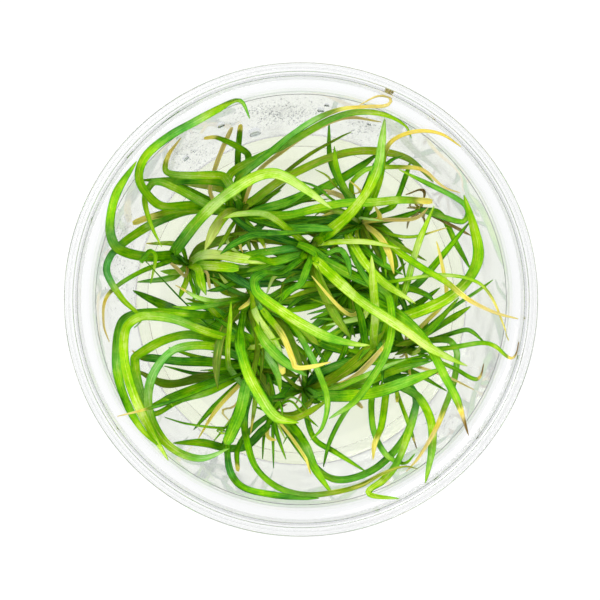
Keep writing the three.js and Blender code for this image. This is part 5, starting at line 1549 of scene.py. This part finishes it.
@dataclass
class Condensation:
    """Water drops on the inside of the wall, the larger ones listed one by one.

    Attributes:
        water: Their finish.
        seed: The number that their places start from.
        small: Least and most radius of a drop in a patch, in millimetres.
        larger: Seen place and radius of each larger drop.
        patches: Seen middle, width, height and number of drops of each misted patch.
        over_gel: Least height of a drop over the gel, in millimetres.
        under_shoulder: Least gap that it keeps to the wall's top, in millimetres.
        search_step: Step of the search for its height, in millimetres.
        sunk: Share of its radius by which its middle stands off the wall.
        flattened: Share of its depth that it loses against the wall.
        fine_from: Radius from which it gets finer faces, in millimetres.
    """

    water: bpy.types.Material
    seed: int = 11
    small: tuple[float, float] = (0.07, 0.2)
    larger: tuple[tuple[float, float, float], ...] = (
        (4.2, 40.2, 0.8),
        (5.5, 41.3, 0.6),
        (-17, 37, 0.9),
        (-24.4, 30, 0.8),
        (-9.8, 35.4, 1.4),
        (14.5, 37.2, 0.5),
        (28.5, -28, 0.5),
        (-37.5, 11, 0.5),
    )
    patches: tuple[tuple[float, float, float, float, int], ...] = (
        (-3.5, 39.6, 11.0, 2.8, 700),
        (-24, 31.5, 6.0, 4.0, 260),
        (-38.5, 10.0, 3.0, 10.0, 330),
        (14.0, 36.5, 4.5, 3.0, 140),
        (28.5, -27.5, 3.0, 5.0, 90),
    )
    over_gel: float = 1.5
    under_shoulder: float = 1.0
    search_step: float = 0.2
    sunk: float = 0.3
    flattened: float = 0.55
    fine_from: float = 0.3

    def build(self) -> bpy.types.Object:
        """Sets the drops on the wall.

        Returns:
            The drops' piece.
        """
        chance = random.Random(self.seed)
        spots = list(self.larger)
        for x, y, wide, high, count in self.patches:
            for _ in range(count):
                across = chance.gauss(x, wide / 2)
                up = chance.gauss(y, high / 2)
                spots.append((across, up, chance.uniform(*self.small)))
        drops = bmesh.new()
        for x, y, radius in spots:
            height = self._wall_height(math.hypot(x, y))
            if height is not None:
                self._add_drop(drops, true_place(x, y, height), radius)
        return finish_piece("condensation_drops", drops, self.water)

    def _wall_height(self, seen_radius: float) -> float | None:
        """Finds the height at which the wall is seen at a radius.

        Args:
            seen_radius: Radius in millimetres at the rim.

        Returns:
            The height in millimetres, or None off the wall.
        """
        z = GEL_TOP + self.over_gel
        while z < WALL_TOP["height"] - self.under_shoulder:
            if true_place(seen_radius, 0, z).x < inner_radius(z):
                return z
            z += self.search_step
        return None

    def _add_drop(self, drops: bmesh.types.BMesh, place: Vector, radius: float) -> None:
        """Adds one drop, flattened against the wall.

        Args:
            drops: The mesh that grows.
            place: A place on the wall, in millimetres.
            radius: The drop's radius, in millimetres.
        """
        out = Vector((place.x, place.y, 0)).normalized()
        middle = out * (inner_radius(place.z) - self.sunk * radius) + Vector((0, 0, place.z))
        fineness = 2 if radius > self.fine_from else 1
        made = bmesh.ops.create_icosphere(drops, subdivisions=fineness, radius=radius * MM)
        for vert in made["verts"]:
            depth = vert.co.dot(out)
            vert.co += out * (-self.flattened * depth)
            vert.co += middle * MM


@dataclass(frozen=True)
class Studio:
    """What stands round the object: a white floor, a soft sky, a lamp and the camera.

    Attributes:
        floor_half: Half the floor's width, in metres.
        floor_colour: The floor's own colour, under its glow.
        floor_glow: Strength of the glow that makes it as white as the photograph's.
        sky: The sky's colours from the horizon up.
        lamp_power: The lamp's power, in watts.
        lamp_size: The lamp's width, in metres.
        lamp_place: Where it hangs, in metres.
        lamp_aim: What it points at, in metres.
        sensor: The camera's sensor width, in millimetres.
    """

    floor_half: float = 1.5
    floor_colour: str = "#404040"
    floor_glow: float = 0.99
    sky: Stops = ((0.0, "#bfc2cb"), (0.14, "#dadce2"), (0.35, "#f6f6f6"), (0.7, "#ffffff"))
    lamp_power: float = 6.0
    lamp_size: float = 0.5
    lamp_place: tuple[float, float, float] = (-0.35, 0.35, 0.75)
    lamp_aim: tuple[float, float, float] = (0, 0, 0.03)
    sensor: float = 36.0

    def build(self) -> None:
        """Lays the floor, lights it and sets the camera."""
        self._floor()
        self._sky()
        self._lamp()
        self._camera()

    def _floor(self) -> None:
        """Lays the floor."""
        floor = bmesh.new()
        bmesh.ops.create_grid(floor, x_segments=2, y_segments=2, size=self.floor_half)
        mesh = bpy.data.meshes.new("floor")
        floor.to_mesh(mesh)
        floor.free()
        material, _, shader = new_material("white paper floor")
        shader.inputs["Base Color"].default_value = linear(self.floor_colour)
        shader.inputs["Roughness"].default_value = 0.9
        shader.inputs["Emission Color"].default_value = (1.0, 1.0, 1.0, 1.0)
        shader.inputs["Emission Strength"].default_value = self.floor_glow
        mesh.materials.append(material)
        ground = bpy.data.objects.new("floor", mesh)
        bpy.context.scene.collection.objects.link(ground)

    def _sky(self) -> None:
        """Sets the soft light from all round."""
        world = bpy.data.worlds.new("soft studio")
        world.use_nodes = True
        tree = world.node_tree
        background = tree.nodes["Background"]
        background.inputs["Strength"].default_value = 1.0
        direction = add_node(tree, "ShaderNodeTexCoord", {}, {})
        height = add_node(tree, "ShaderNodeSeparateXYZ", {}, {0: direction.outputs["Generated"]})
        sky = add_node(tree, "ShaderNodeValToRGB", {}, {"Fac": height.outputs["Z"]})
        set_ramp(sky, self.sky)
        tree.links.new(sky.outputs[0], background.inputs["Color"])
        bpy.context.scene.world = world
        bpy.context.scene.view_settings.view_transform = "Standard"

    def _lamp(self) -> None:
        """Hangs the soft box."""
        light = bpy.data.lights.new("soft box", "AREA")
        light.energy = self.lamp_power
        light.size = self.lamp_size
        lamp = bpy.data.objects.new("soft box", light)
        lamp.location = self.lamp_place
        aim = Vector(self.lamp_aim) - Vector(lamp.location)
        lamp.rotation_euler = aim.to_track_quat("-Z", "Y").to_euler()
        bpy.context.scene.collection.objects.link(lamp)

    def _camera(self) -> None:
        """Sets the camera over the cup, where the photograph's eye was."""
        lens = bpy.data.cameras.new("camera")
        lens.sensor_width = self.sensor
        lens.lens = lens.sensor_width * EYE_OVER_RIM / FRAME_WIDTH
        camera = bpy.data.objects.new("camera", lens)
        height = (CUP_HEIGHT + EYE_OVER_RIM) * MM
        camera.location = (EYE_OFFSET[0] * MM, EYE_OFFSET[1] * MM, height)
        bpy.context.scene.collection.objects.link(camera)
        bpy.context.scene.camera = camera


def main() -> None:
    """Builds the plant in its cup, piece by piece."""
    logging.basicConfig(level=logging.INFO, format="%(name)s: %(message)s")
    Studio().build()
    leaf = LivingLeaf().make()
    plastic = ClearPlastic().make()
    pieces = [
        Cup(plastic).build(),
        Gel(CloudedGel().make()).build(),
        *Clump(leaf).build(),
        Condensation(WaterDrop().make()).build(),
    ]
    for piece in pieces:
        log.info("%s: %d faces", piece.name, len(piece.data.polygons))


if __name__ == "__main__":
    main()
